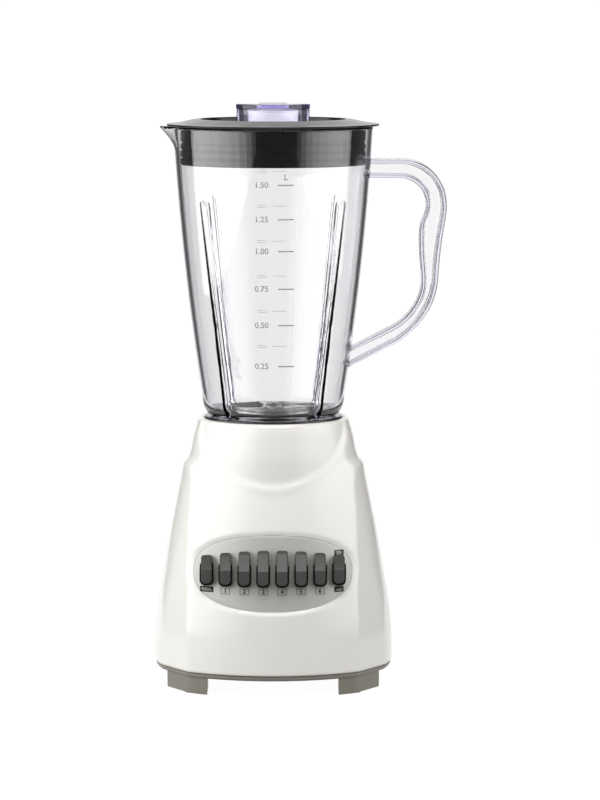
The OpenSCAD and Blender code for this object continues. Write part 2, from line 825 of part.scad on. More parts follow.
// The handle's edges: an upper arm, a grip that narrows downwards, and a slanting lower arm.
arm_t = 13.7;
arm_top_z = rim_z - 21.8;
arm_low_z = foot_z + 32.6;
grip_low_z = arm_low_z + 59.5;
bump_out = 4.8;
function outer_edge() =
    let (out = handle_reach, top = arm_top_z, low = arm_low_z, mid = (top + grip_low_z) / 2)
    concat(
        [[jar_out_r(top) - 2.5, top]],
        curve([[out - 31.6, top], [out - 15, top], [out, top - 12], [out, top - 33]], 8),
        curve([[out, top - 33], [out, mid], [out - 4, mid - 8], [out - 5.8, grip_low_z]], 5),
        curve([[out - 5.8, grip_low_z], [out - 8, low + 42], [out - 17, low + 29],
            [out - 33.7, low + 17.4]], 7),
        [[out - 33.7, low + 17.4], [jar_out_r(low) - 2.5, low]]
    );
function inner_edge() =
    let (
        out = handle_reach, top = arm_top_z - arm_t, low = arm_low_z + arm_t + 0.9,
        neck_x = out - grip_t + bump_out, mid = (top - 30 + grip_low_z) / 2
    )
    concat(
        [[jar_out_r(top) - 2.5, top]],
        curve([[out - 33.7, top], [out - 22, top], [neck_x, top - 7.7], [neck_x, top - 19]], 7),
        curve([[neck_x, top - 19], [neck_x, top - 25], [out - grip_t, top - 28],
            [out - grip_t, top - 38]], 5),
        curve([[out - grip_t, top - 38], [out - grip_t, mid - 8], [out - grip_t + 1.6, mid - 10],
            [out - grip_t + 1.6, grip_low_z]], 4),
        curve([[out - grip_t + 1.6, grip_low_z], [out - grip_t + 1.6, low + 33],
            [out - 27, low + 20.5], [out - 38.2, low + 14.6]], 7),
        [[out - 38.2, low + 14.6], [jar_out_r(low) - 2.5, low]]
    );

module handle_outline() {
    inner = inner_edge();
    polygon(concat(outer_edge(), [for (i = [len(inner) - 1:-1:0]) inner[i]]));
}

web_t = 4;
rim_t = 3;
module handle() {
    rotate([90, 0, 0]) {
        translate([0, 0, -web_t / 2]) linear_extrude(web_t) handle_outline();
        translate([0, 0, -handle_w / 2]) linear_extrude(handle_w) difference() {
            handle_outline();
            offset(delta = -rim_t) handle_outline();
        }
    }
}

module jar() {
    neck_z = foot_z - neck_drop;
    color([0.85, 0.87, 0.95, 0.4]) difference() {
        union() {
            jar_body(0, foot_z);
            spout_form(0);
            translate([0, 0, neck_z]) cylinder(r = neck_out_r, h = neck_drop + 1);
        }
        difference() {
            union() {
                jar_body(jar_wall, foot_z + jar_floor_t);
                translate([0, 0, rim_z - 1]) cylinder(r = jar_top_r - jar_wall, h = 5);
                spout_form(2);
            }
            intersection() {
                flute_wedge(2.6, flute_w + 5.2);
                translate([0, 0, foot_z - 1]) cylinder(r = jar_top_r + 1, h = jar_h + 5);
            }
        }
        translate([0, 0, neck_z - 1]) cylinder(r = neck_in_r, h = neck_drop + 20);
        flute_wedge(0, flute_w);
    }
}

// The handle stands on the jar's outer wall. The two are moulded as one.
module jar_handle() {
    color([0.85, 0.87, 0.95, 0.4]) difference() {
        handle();
        jar_body(0, foot_z);
    }
}

collar_low_z = foot_z - 15.7;
collar_t = 2.5;
module jar_collar() {
    color("#1b1b1d") difference() {
        translate([0, 0, collar_low_z]) cylinder(r = collar_r, h = foot_z - gap - collar_low_z);
        translate([0, 0, collar_low_z + collar_t])
            cylinder(r = neck_out_r + thread_gap, h = 40);
        translate([0, 0, collar_low_z - 1]) cylinder(r = driven_r + 2.5, h = 40);
        for (a = [0:30:330]) rotate([0, 0, a]) translate([collar_r - 0.6, -1.5, collar_low_z - 1])
            cube([3, 3, 11]);
    }
}

gasket_t = 1;
module jar_gasket() {
    color("#d9d5cc") translate([0, 0, foot_z - neck_drop - gasket_t])
        tube(neck_out_r - 0.2, dish_r + 0.05, gasket_t);
}

module blade_base() {
    low = collar_low_z + collar_t;
    color("silver") difference() {
        union() {
            translate([0, 0, low]) cylinder(r = neck_out_r - 0.1, h = dish_t);
            translate([0, 0, low]) cylinder(r = dish_r, h = dish_rim_z - low);
        }
        translate([0, 0, low - 1])
            cylinder(r = dish_r - dish_t, h = dish_floor_z - dish_t - low + 1);
        translate([0, 0, dish_floor_z]) rotate_extrude() polygon([
            [0, 0], [dish_r - 4, 0], [dish_r - dish_t, 3], [dish_r - dish_t, 20], [0, 20]
        ]);
        translate([0, 0, low]) cylinder(r = bushing_r, h = 40);
    }
}

module blade_bushing() {
    color("goldenrod") translate([0, 0, dish_floor_z - dish_t - 0.8]) difference() {
        union() {
            cylinder(r = bushing_r, h = dish_t + 3);
            translate([0, 0, -0.4]) cylinder(r = bushing_r + 2, h = 1.2);
        }
        translate([0, 0, -1]) cylinder(r = blade_shaft_r + run_fit, h = 20);
    }
}

module blade_shaft() {
    low = driven_z + socket_h + 0.4;
    color("silver") translate([0, 0, low])
        cylinder(r = blade_shaft_r, h = blade_z + 2 * blade_t + 3.4 - low);
}

wing_x = 9;
// A blade: a flat centre with two sharpened wings bent by an angle.
module blade(bend) {
    wing_l = (blade_r - wing_x) / cos(bend) - 0.4;
    difference() {
        union() {
            linear_extrude(blade_t) round_rect(2 * wing_x + 1, 14, 3);
            for (turn = [0, 180]) rotate([0, 0, turn]) translate([wing_x - 0.5, 0, 0])
                rotate([0, -bend, 0]) linear_extrude(blade_t)
                    polygon([[0, -7], [wing_l * 0.35, -6.4], [wing_l, -1], [wing_l, 5.4], [0, 7]]);
        }
        translate([0, 0, -5]) cylinder(r = blade_shaft_r, h = 15);
    }
}

module lower_blade() {
    color("silver") translate([0, 0, blade_z]) rotate([0, 0, 25]) blade(0);
}

module upper_blade() {
    color("silver") translate([0, 0, blade_z + blade_t]) rotate([0, 0, 115]) blade(9);
}

module blade_washer() {
    color("silver") translate([0, 0, blade_z + 2 * blade_t])
        tube(blade_shaft_r + 2.4, blade_shaft_r, 0.8);
}

module blade_cap_nut() {
    color("silver") translate([0, 0, blade_z + 2 * blade_t + 0.8]) difference() {
        union() {
            cylinder(r = 5.2, h = 2.4, $fn = 6);
            cylinder(r = 4.4, h = 3.6);
        }
        translate([0, 0, -1]) cylinder(r = blade_shaft_r, h = 3.6);
    }
}

module lid() {
    deck = ring_z - deck_drop;
    skirt_low = rim_z - skirt_h;
    hole_r = cap_r - 2.4;
    color("#141414") rotate_extrude($fn = 144) polygon(concat(
        [[hole_r, deck - 8], [hole_r, deck], [ring_r - 3, deck], [ring_r - 2, ring_z - 1],
            [ring_r - 1, ring_z], [ring_r + 1.5, ring_z]],
        [[lid_r - 4, brim_z + brim_t], [lid_r - 0.6, brim_z + brim_t * 0.9],
            [lid_r, brim_z + brim_t * 0.4], [lid_r - 0.6, brim_z]],
        [[skirt_r, brim_z]],
        [for (i = [0:2], p = [[0, 1.4], [-0.7, 0.7], [0, 0]])
            [skirt_r + p[0], skirt_low + 15.1 - 5.15 * i + p[1] - 0.7]],
        [[skirt_r, skirt_low], [skirt_r - lid_wall, skirt_low],
            [skirt_r - lid_wall, deck - lid_wall], [hole_r + lid_wall, deck - lid_wall],
            [hole_r + lid_wall, deck - 8]]
    ));
}

module measuring_cap() {
    deck = ring_z - deck_drop + 0.2;
    low = deck - 16;
    flange = 3.4;
    in_r = cap_r - 5.2;
    color([0.85, 0.87, 0.95, 0.5]) difference() {
        rotate_extrude() polygon([
            [in_r, low], [cap_r - 2.8, low], [cap_r - 2.8, deck], [cap_r, deck],
            [cap_r, cap_z - flange], [cap_r + 0.5, cap_z - flange + 0.4],
            [cap_r + 0.5, cap_z - 0.8], [cap_r - 0.3, cap_z], [0, cap_z], [0, cap_z - 2.6],
            [in_r, cap_z - 2.6]
        ]);
        for (y = [-1, 1]) translate([0, y * 13, cap_z - 1.2]) linear_extrude(5)
            polygon([[-11, y * 6], [-8, -y * 7], [8, -y * 7], [11, y * 6]]);
    }
}

motor_housing();
base_plate();
foot_pads();
base_screws();
control_panel();
key_collars();
switch_bank();
circuit_board();
cord_inlet();
jar_seat_ring();
stator_core();
field_coils();
upper_motor_bracket();
lower_motor_bracket();
motor_screws();
motor_grommets();
motor_mount_screws();
brush_holders();
carbon_brushes();
upper_bearing();
lower_bearing();
motor_shaft();
armature_core();
armature_windings();
commutator();
cooling_fan();
drive_coupling();
color("#6d6f6b") key(0);  // key_pulse
color("#6d6f6b") key(1);  // key_1
color("#6d6f6b") key(2);  // key_2
color("#6d6f6b") key(3);  // key_3
color("#6d6f6b") key(4);  // key_4
color("#6d6f6b") key(5);  // key_5
color("#6d6f6b") key(6);  // key_6
color("#6d6f6b") key(7);  // key_high_low
jar();
jar_handle();
jar_collar();
jar_gasket();
blade_base();
blade_bushing();
blade_shaft();
driven_coupling();
lower_blade();
upper_blade();
blade_washer();
blade_cap_nut();
lid();
measuring_cap();
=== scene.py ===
"""Countertop blender: the looks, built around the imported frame.

Metres, +Z up, the front at -Y. Every size comes from the frame's boxes or from the named values
here. The pieces of the shell, jar, lid and controls are rebuilt as smooth meshes; the pieces
inside keep their CAD meshes and get materials.
"""

import math

import bmesh
import bpy
import numpy as np
from mathutils import Matrix, Vector


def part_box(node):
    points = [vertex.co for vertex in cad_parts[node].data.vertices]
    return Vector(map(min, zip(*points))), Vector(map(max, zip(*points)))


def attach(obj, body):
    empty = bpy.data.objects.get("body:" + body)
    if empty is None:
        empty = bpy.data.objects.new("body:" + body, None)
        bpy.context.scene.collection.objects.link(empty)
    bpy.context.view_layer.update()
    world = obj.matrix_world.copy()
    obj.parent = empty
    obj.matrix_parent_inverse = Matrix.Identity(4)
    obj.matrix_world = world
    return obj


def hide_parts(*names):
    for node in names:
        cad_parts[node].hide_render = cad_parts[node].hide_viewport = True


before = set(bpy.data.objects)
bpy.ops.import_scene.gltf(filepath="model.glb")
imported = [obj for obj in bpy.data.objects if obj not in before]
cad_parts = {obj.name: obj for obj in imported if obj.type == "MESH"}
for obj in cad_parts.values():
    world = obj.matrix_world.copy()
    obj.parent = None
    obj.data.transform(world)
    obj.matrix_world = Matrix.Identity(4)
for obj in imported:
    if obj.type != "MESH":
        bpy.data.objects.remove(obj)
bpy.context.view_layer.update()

MM = 0.001


# ---------------------------------------------------------------- mesh helpers


def new_object(name, verts, faces, sharp_deg=35.0):
    """A mesh object with smooth faces and edges marked sharp above an angle."""
    mesh = bpy.data.meshes.new(name)
    mesh.from_pydata([tuple(map(float, v)) for v in verts], [], faces)
    mesh.validate()
    obj = bpy.data.objects.new(name, mesh)
    bpy.context.collection.objects.link(obj)
    fix_normals(obj)
    shade(obj, sharp_deg)
    return obj


def fix_normals(obj):
    bm = bmesh.new()
    bm.from_mesh(obj.data)
    bmesh.ops.recalc_face_normals(bm, faces=bm.faces)
    bm.to_mesh(obj.data)
    bm.free()


def shade(obj, sharp_deg=35.0):
    mesh = obj.data
    mesh.polygons.foreach_set("use_smooth", [True] * len(mesh.polygons))
    mesh.set_sharp_from_angle(angle=math.radians(sharp_deg))
    mesh.update()


def apply_modifiers(obj):
    graph = bpy.context.evaluated_depsgraph_get()
    mesh = bpy.data.meshes.new_from_object(obj.evaluated_get(graph))
    mesh.name = obj.name
    old = obj.data
    obj.modifiers.clear()
    obj.data = mesh
    bpy.data.meshes.remove(old)


def boolean(obj, other, operation):
    """Joins, cuts or intersects with another object, which is then removed."""
    mod = obj.modifiers.new("join", "BOOLEAN")
    mod.object = other
    mod.operation = operation
    mod.solver = "MANIFOLD"
    apply_modifiers(obj)
    remove(other)


def remove(obj):
    mesh = obj.data
    bpy.data.objects.remove(obj)
    bpy.data.meshes.remove(mesh)


def bevel(obj, width, segments, angle):
    mod = obj.modifiers.new("bevel", "BEVEL")
    mod.width = width
    mod.segments = segments
    mod.limit_method = "ANGLE"
    mod.angle_limit = math.radians(angle)
    mod.harden_normals = False
    apply_modifiers(obj)
    shade(obj)


def clean(obj, distance=1e-6):
    """Merges doubled points and drops faces without area, as a boolean may leave."""
    bm = bmesh.new()
    bm.from_mesh(obj.data)
    bmesh.ops.remove_doubles(bm, verts=bm.verts, dist=distance)
    bmesh.ops.dissolve_degenerate(bm, dist=distance, edges=bm.edges)
    bm.to_mesh(obj.data)
    bm.free()


def joined(name, parts):
    """One object from several, each of them a closed solid of its own."""
    verts, faces, base = [], [], 0
    for part in parts:
        m = part.matrix_world
        verts += [m @ v.co for v in part.data.vertices]
        faces += [[base + i for i in p.vertices] for p in part.data.polygons]
        base += len(part.data.vertices)
        remove(part)
    return new_object(name, verts, faces)


def ring_faces(rows, cols, close_rows=False):
    """Quads between rings of points; the rings close, and so may the stack of rings."""
    faces = []
    for r in range(rows if close_rows else rows - 1):
        a, b = r * cols, ((r + 1) % rows) * cols
        for c in range(cols):
            d = (c + 1) % cols
            faces.append((a + c, a + d, b + d, b + c))
    return faces


def lathe(name, profile, turns, sharp_deg):
    """A solid of revolution from a closed outline of (radius, height), clear of the axis."""
    angles = np.arange(turns) * 2 * math.pi / turns
    verts = [(r * math.cos(a), r * math.sin(a), z) for r, z in profile for a in angles]
    return new_object(name, verts, ring_faces(len(profile), turns, True), sharp_deg)


def turned(name, points, turns=180):
    """A solid of revolution from an outline whose points may have corner radii."""
    return lathe(name, filleted(points, 4), turns, 40)


def filleted(points, steps=5):
    """A closed outline with round corners. Each point is (x, y) or (x, y, corner radius)."""
    out, n = [], len(points)
    for i, point in enumerate(points):
        p = np.array(point[:2], float)
        radius = point[2] if len(point) > 2 else 0.0
        to_last = np.array(points[i - 1][:2], float) - p
        to_next = np.array(points[(i + 1) % n][:2], float) - p
        len_a, len_b = np.linalg.norm(to_last), np.linalg.norm(to_next)
        if radius <= 0 or min(len_a, len_b) < 1e-9:
            out.append(tuple(p))
            continue
        to_last, to_next = to_last / len_a, to_next / len_b
        half = math.acos(float(np.clip(to_last @ to_next, -1, 1))) / 2
        back = min(radius / math.tan(half), 0.49 * len_a, 0.49 * len_b)
        for t in np.linspace(0, 1, steps + 1):
            a, b = p + to_last * back, p + to_next * back
            out.append(tuple((1 - t) ** 2 * a + 2 * t * (1 - t) * p + t * t * b))
    return out


def end_caps(rows, cols):
    """The two faces that close an open stack of rings."""
    return [tuple(range(cols - 1, -1, -1)), tuple(range((rows - 1) * cols, rows * cols))]


def stacked(name, rows, sharp_deg):
    """A solid from rings of points, closed over its first and last ring."""
    cols = len(rows[0])
    faces = ring_faces(len(rows), cols) + end_caps(len(rows), cols)
    return new_object(name, [p for row in rows for p in row], faces, sharp_deg)


class Rings:
    """A closed solid from rings round the axis, each with a reach for every angle."""

    def __init__(self, angles):
        self.angles, self.rows = angles, []

    def add(self, reach, z):
        self.rows.append((np.broadcast_to(np.asarray(reach, float), self.angles.shape), float(z)))

    def built(self, name, sharp_deg):
        verts = [
            (r * math.cos(a), r * math.sin(a), z)
            for reach, z in self.rows for r, a in zip(reach, self.angles)
        ]
        faces = ring_faces(len(self.rows), len(self.angles), True)
        return new_object(name, verts, faces, sharp_deg)


def circle(radius, n, x=0.0, y=0.0):
    angles = np.arange(n) * 2 * math.pi / n
    return [(x + radius * math.cos(a), y + radius * math.sin(a)) for a in angles]


def round_rect(x0, x1, y0, y1, radius):
    return filleted([(x0, y0, radius), (x1, y0, radius), (x1, y1, radius), (x0, y1, radius)])


def prism(name, outline, low, high, place=Matrix.Identity(4)):
    """An outline in x and y, drawn up from low to high, then placed."""
    n = len(outline)
    verts = [place @ Vector((x, y, z)) for z in (low, high) for x, y in outline]
    sides = [(i, (i + 1) % n, n + (i + 1) % n, n + i) for i in range(n)]
    return new_object(name, verts, end_caps(2, n) + sides)


def block(name, low, high, place=Matrix.Identity(4)):
    """A cutter with square corners."""
    outline = [(low[0], low[1]), (high[0], low[1]), (high[0], high[1]), (low[0], high[1])]
    return prism(name, outline, low[2], high[2], place)


def smooth_curve(stations, x):
    """Monotone cubic through (x, y) stations: smooth, and never beyond them."""
    xs, ys = np.array(stations, float).T
    h = np.diff(xs)
    d = np.diff(ys) / h
    m = np.zeros(len(xs))
    m[0], m[-1] = d[0], d[-1]
    for i in range(1, len(xs) - 1):
        if d[i - 1] * d[i] > 0:
            w1, w2 = 2 * h[i] + h[i - 1], h[i] + 2 * h[i - 1]
            m[i] = (w1 + w2) / (w1 / d[i - 1] + w2 / d[i])
    x = np.clip(np.asarray(x, float), xs[0], xs[-1])
    i = np.clip(np.searchsorted(xs, x, side="right") - 1, 0, len(xs) - 2)
    t = (x - xs[i]) / h[i]
    return (
        ys[i] * (1 + 2 * t) * (1 - t) ** 2 + h[i] * m[i] * t * (1 - t) ** 2
        + ys[i + 1] * t * t * (3 - 2 * t) - h[i] * m[i + 1] * t * t * (1 - t)
    )


def smooth_min(a, b, k):
    h = np.clip(0.5 + 0.5 * (b - a) / k, 0, 1)
    return b * (1 - h) + a * h - k * h * (1 - h)


def smooth_max(a, b, k):
    return -smooth_min(-a, -b, k)


def smooth_step(t):
    t = np.clip(t, 0, 1)
    return t * t * (3 - 2 * t)


def bezier(p, n):
    """n points along a cubic from p[0] towards p[3], without its last point."""
    p = np.array(p, float)
    t = (np.arange(n) / n)[:, None]
    return (
        (1 - t) ** 3 * p[0] + 3 * t * (1 - t) ** 2 * p[1] + 3 * t * t * (1 - t) * p[2]
        + t ** 3 * p[3]
    )


def bezier_run(start, *pieces):
    """Joined cubics from a start. Each piece is two handles, an end and a number of points."""
    out = []
    for a, b, end, n in pieces:
        out.append(bezier([start, a, b, end], n))
        start = end
    return np.vstack(out + [[start]])


def resampled(points, n):
    """n points evenly spaced along an open line."""
    points = np.array(points, float)
    run = np.r_[0, np.cumsum(np.linalg.norm(np.diff(points, axis=0), axis=1))]
    at = np.linspace(0, run[-1], n)
    return np.column_stack([np.interp(at, run, points[:, k]) for k in range(points.shape[1])])


# ---------------------------------------------------------------- camera, light and floor

EYE = Vector((0.0184, -2.5, 0.4713))
EYE_DOWN_DEG = 6.32
LENS_MM = 164.0
WORLD_LIGHT = 0.10
LEFT_LIGHT = 34
RIGHT_LIGHT = 22
TOP_LIGHT = 20
BOX_H = 1.6
BOX_FADE = (0.15, 0.4, 0.7, 1.0, 1.2, 1.35, 1.35, 1.1)
BOX_MID_Z = 0.75


def make_camera():
    data = bpy.data.cameras.new("camera")
    data.lens = LENS_MM
    data.sensor_width = 36.0
    data.clip_end = 50.0
    cam = bpy.data.objects.new("camera", data)
    cam.location = EYE
    cam.rotation_euler = (math.radians(90 - EYE_DOWN_DEG), 0, 0)
    bpy.context.collection.objects.link(cam)
    bpy.context.scene.camera = cam


def area_light(name, place, target, width, height, power):
    data = bpy.data.lights.new(name, "AREA")
    data.shape = "RECTANGLE"
    data.size, data.size_y = width, height
    data.energy = power
    lamp = bpy.data.objects.new(name, data)
    lamp.location = place
    lamp.rotation_euler = (Vector(target) - Vector(place)).to_track_quat("-Z", "Y").to_euler()
    bpy.context.collection.objects.link(lamp)
    return lamp


def make_studio():
    scene = bpy.context.scene
    scene.view_settings.view_transform = "Standard"
    world = bpy.data.worlds.new("studio")
    scene.world = world
    world.use_nodes = True
    back = world.node_tree.nodes["Background"]
    back.inputs["Color"].default_value = (1, 1, 1, 1)
    back.inputs["Strength"].default_value = WORLD_LIGHT

    # A pale floor that sweeps up into a backdrop, no wider than it has to be.
    near_w, far_w, front, bend, sweep_r, rise, steps = 0.27, 0.52, -0.46, 1.1, 0.6, 2.2, 14
    line = [(front, 0.0), (bend, 0.0)]
    line += [
        (bend + sweep_r * math.sin(a), sweep_r - sweep_r * math.cos(a))
        for a in np.linspace(0, math.pi / 2, steps)[1:]
    ]
    line.append((bend + sweep_r, rise))
    verts = []
    for y, z in line:
        half_w = near_w + (far_w - near_w) * (min(y, bend) - front) / (bend - front)
        verts += [(-half_w, y, z), (half_w, y, z)]
    faces = [(2 * i, 2 * i + 1, 2 * i + 3, 2 * i + 2) for i in range(len(line) - 1)]
    sweep = new_object("studio_sweep", verts, faces)
    mat = bpy.data.materials.new("studio_sweep")
    mat.use_nodes = True
    shader = mat.node_tree.nodes["Principled BSDF"]
    shader.inputs["Base Color"].default_value = (0.1, 0.1, 0.1, 1)
    shader.inputs["Roughness"].default_value = 0.9
    shader.inputs["Specular IOR Level"].default_value = 0.0
    shader.inputs["Emission Color"].default_value = (1, 1, 1, 1)
    shader.inputs["Emission Strength"].default_value = 0.97
    sweep.data.materials.append(mat)
    # It glows, and gives the object no diffuse light, which would wash out the shell's foot.
    sweep.visible_diffuse = False

    # Two tall soft boxes from front corner to side, with a dark gap behind the camera, and one
    # overhead. The far sides stay dark, which draws the edges of the clear parts.
    for name, near, far, power in (
        ("left_box", (-0.85, -2.4), (-1.45, 0.45), LEFT_LIGHT),
        ("right_box", (1.15, -2.15), (1.55, 0.3), RIGHT_LIGHT),
    ):
        start = Vector((*near, BOX_MID_Z))
        along = Vector((*far, BOX_MID_Z)) - start
        facing = Vector((-along.y, along.x, 0)).normalized()
        if facing.dot(-start) < 0:
            facing = -facing
        # In strips that grow brighter away from the camera, so that the box has a soft end.
        for k, share in enumerate(BOX_FADE):
            mid = start + along * (k + 0.5) / len(BOX_FADE)
            area_light(
                f"{name}_{k}", mid, mid + facing, along.length / len(BOX_FADE), BOX_H,
                power * share / len(BOX_FADE),
            )
    top = area_light("top_box", (0, -1.1, 1.8), (0, 0.0, 0.2), 1.5, 1.1, TOP_LIGHT)
    # The overhead box isn't seen through the clear parts.
    top.visible_transmission = False


# ---------------------------------------------------------------- materials


class Look:
    """A node material under construction, in object coordinates."""

    def __init__(self, name, colour, roughness, metallic=0.0, **sockets):
        self.mat = bpy.data.materials.new(name)
        self.mat.use_nodes = True
        self.nodes = self.mat.node_tree.nodes
        self.links = self.mat.node_tree.links
        self.shader = self.nodes["Principled BSDF"]
        self.shader.inputs["Base Color"].default_value = (*colour, 1)
        self.shader.inputs["Roughness"].default_value = roughness
        self.shader.inputs["Metallic"].default_value = metallic
        for key, value in sockets.items():
            self.shader.inputs[key.replace("_", " ")].default_value = value
        self.coords = self.nodes.new("ShaderNodeTexCoord")
        self.height = None

    def node(self, kind, **inputs):
        node = self.nodes.new("ShaderNode" + kind)
        for key, value in inputs.items():
            node.inputs[key].default_value = value
        return node

    def noise(self, scale, detail=3.0, rough=0.5, stretch=(1, 1, 1)):
        mapping = self.node("Mapping", Scale=stretch)
        node = self.node("TexNoise", Scale=scale, Detail=detail, Roughness=rough)
        self.links.new(self.coords.outputs["Object"], mapping.inputs["Vector"])
        self.links.new(mapping.outputs["Vector"], node.inputs["Vector"])
        return node.outputs["Fac"]

    def cells(self, scale):
        node = self.node("TexVoronoi", Scale=scale)
        self.links.new(self.coords.outputs["Object"], node.inputs["Vector"])
        return node.outputs["Distance"]

    def ramp(self, source, stops):
        node = self.node("ValToRGB")
        ends = node.color_ramp.elements
        while len(ends) < len(stops):
            ends.new(0.5)
        for end, (at, value) in zip(ends, stops):
            end.position = at
            end.color = (value, value, value, 1) if np.isscalar(value) else (*value, 1)
        self.links.new(source, node.inputs["Fac"])
        return node.outputs["Color"]

    def colour(self, source, stops):
        self.links.new(self.ramp(source, stops), self.shader.inputs["Base Color"])

    def rough(self, source, low, high):
        stops = [(0.3, low), (0.7, high)]
        self.links.new(self.ramp(source, stops), self.shader.inputs["Roughness"])

    def bump(self, source, strength, distance):
        node = self.node("Bump", Strength=strength, Distance=distance)
        self.links.new(source, node.inputs["Height"])
        if self.height:
            self.links.new(self.height, node.inputs["Normal"])
        self.height = node.outputs["Normal"]
        self.links.new(self.height, self.shader.inputs["Normal"])


def tints(base, spread):
    """Two tones of a colour, a little darker and a little lighter."""
    return (
        tuple(max(0.0, c * (1 - spread)) for c in base),
        tuple(min(1.0, c * (1 + spread)) for c in base),
    )


def plastic(name, colour, roughness, grain=900, spread=0.03, depth=0.00002, **sockets):
    """Moulded plastic: faint cloudy colour, a fine skin and slightly uneven gloss."""
    look = Look(name, colour, roughness, **sockets)
    dark, light = tints(colour, spread)
    look.colour(look.noise(28, 4), [(0.3, dark), (0.7, light)])
    look.rough(look.noise(90, 5), roughness * 0.85, roughness * 1.2)
    look.bump(look.noise(grain, 2), 0.25, depth)
    return look


def metal(name, colour, roughness, stretch=(1, 1, 30), spread=0.10):
    """Brushed or turned metal: streaks in colour, gloss and height."""
    look = Look(name, colour, roughness, 1.0)
    dark, light = tints(colour, spread)
    streak = look.noise(240, 4, 0.6, stretch)
    look.colour(streak, [(0.25, dark), (0.75, light)])
    look.rough(streak, roughness * 0.7, roughness * 1.4)
    look.bump(streak, 0.2, 0.00002)
    return look


def clear_plastic(name, tint, absorb, density, roughness=0.015):
    """Clear moulded plastic whose thick edges turn violet by absorption."""
    look = Look(name, tint, roughness, Transmission_Weight=1.0, IOR=1.52)
    look.rough(look.noise(35, 3), roughness * 0.6, roughness * 2.0)
    look.bump(look.noise(22, 2), 0.05, 0.0002)
    volume = look.node("VolumeAbsorption", Color=(*absorb, 1), Density=density)
    out = look.nodes["Material Output"]
    look.links.new(volume.outputs["Volume"], out.inputs["Volume"])
    return look


def make_materials():
    m = {}
    m["housing"] = plastic(
        "gloss_white", (0.86, 0.845, 0.80), 0.2, 700, 0.012, 0.000012, Coat_Weight=0.35,
        Coat_Roughness=0.08,
    )
    m["plate"] = plastic("satin_grey", (0.215, 0.20, 0.165), 0.42, 1400, 0.04, 0.00004)
    m["rubber"] = plastic("black_rubber", (0.02, 0.02, 0.021), 0.45, 1600, 0.2, 0.00004)
    m["seat"] = plastic("seat_rubber", (0.012, 0.012, 0.013), 0.12, 900, 0.2, 0.00002)
    m["bezel"] = plastic("bezel_black", (0.012, 0.012, 0.010), 0.22, 1200, 0.2,
                         Specular_IOR_Level=0.3)
    m["key"] = plastic("key_grey", (0.062, 0.066, 0.059), 0.26, 1500, 0.06, 0.00003,
                       Specular_IOR_Level=0.3)
    m["lid"] = plastic("lid_black", (0.009, 0.007, 0.006), 0.2, 500, 0.2, 0.00001,
                       Specular_IOR_Level=0.36)
    m["collar"] = plastic("collar_black", (0.012, 0.012, 0.013), 0.22, 900, 0.2)
    m["switch"] = plastic("switch_black", (0.03, 0.03, 0.03), 0.5, 1500, 0.15)
    m["board"] = plastic("board_green", (0.03, 0.16, 0.06), 0.35, 2600, 0.12)
    m["inlet"] = plastic("inlet_grey", (0.16, 0.16, 0.155), 0.5, 1500, 0.1)
    m["holder"] = plastic("holder_brown", (0.22, 0.11, 0.045), 0.5, 1200, 0.15)
    m["carbon"] = plastic("carbon", (0.02, 0.02, 0.022), 0.38, 2600, 0.3)
    m["fan"] = plastic("fan_nylon", (0.72, 0.69, 0.60), 0.42, 900, 0.04)
    m["coupling"] = plastic("coupling_black", (0.02, 0.02, 0.02), 0.5, 1600, 0.2)
    m["gasket"] = plastic("gasket_silicone", (0.62, 0.59, 0.53), 0.45, 900, 0.05)
    m["screw"] = metal("zinc_screw", (0.62, 0.63, 0.64), 0.3)
    m["laminated"] = metal("laminations", (0.24, 0.25, 0.27), 0.45, (1, 1, 60), 0.35)
    m["copper"] = metal("enamelled_copper", (0.55, 0.22, 0.09), 0.32, (1, 1, 18), 0.3)
    m["bracket"] = metal("cast_alloy", (0.66, 0.66, 0.67), 0.48, (1, 1, 1), 0.08)
    m["bearing"] = metal("bearing_steel", (0.62, 0.62, 0.64), 0.18)
    m["shaft"] = metal("ground_steel", (0.66, 0.66, 0.67), 0.2)
    m["dish"] = metal("stainless_dish", (0.52, 0.52, 0.51), 0.3, (1, 1, 40), 0.25)
    m["bushing"] = metal("bronze", (0.60, 0.42, 0.20), 0.35, (1, 1, 8))
    m["blade"] = metal("blade_steel", (0.62, 0.62, 0.63), 0.16, (12, 1, 1), 0.12)
    m["jar"] = clear_plastic("clear_jar", (0.990, 0.988, 0.974), (0.66, 0.62, 0.90), 26)
    m["cap"] = clear_plastic("clear_cap", (0.985, 0.98, 0.985), (0.55, 0.50, 0.90), 46)
    m["print"] = plastic("print_grey", (0.36, 0.36, 0.35), 0.6, 3000, 0.1)
    m["faint"] = plastic("print_faint", (0.80, 0.80, 0.79), 0.6, 3000, 0.05)
    m["label"] = plastic("label_black", (0.02, 0.018, 0.016), 0.35, 3000, 0.2)
    m["label_light"] = plastic("label_light", (0.50, 0.50, 0.47), 0.4, 3000, 0.05)

    panel = Look("speckled_silver", (0.50, 0.50, 0.47), 0.42, 0.2)
    speck = panel.cells(2600)
    panel.colour(speck, [(0.05, (0.66, 0.655, 0.62)), (0.45, (0.47, 0.465, 0.435))])
    panel.rough(panel.noise(1800, 2), 0.32, 0.52)
    panel.bump(speck, 0.25, 0.00003)
    m["panel"] = panel
    return {key: look.mat for key, look in m.items()}


# ---------------------------------------------------------------- the base shell

shell_low, shell_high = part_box("motor_housing")
SEAM_Z = shell_low.z
DECK_Z = shell_high.z
SHELL_H = DECK_Z - SEAM_Z
HALF_W = (shell_high.x - shell_low.x) / 2
HALF_D = (shell_high.y - shell_low.y) / 2
WALL = 2.8 * MM
FRONT_BULGE = 105 * MM
SIDE_BULGE = 100 * MM
NECK_R = 52 * MM
FACET_DEG = 33.6
FACET_REACH = 81.9 * MM
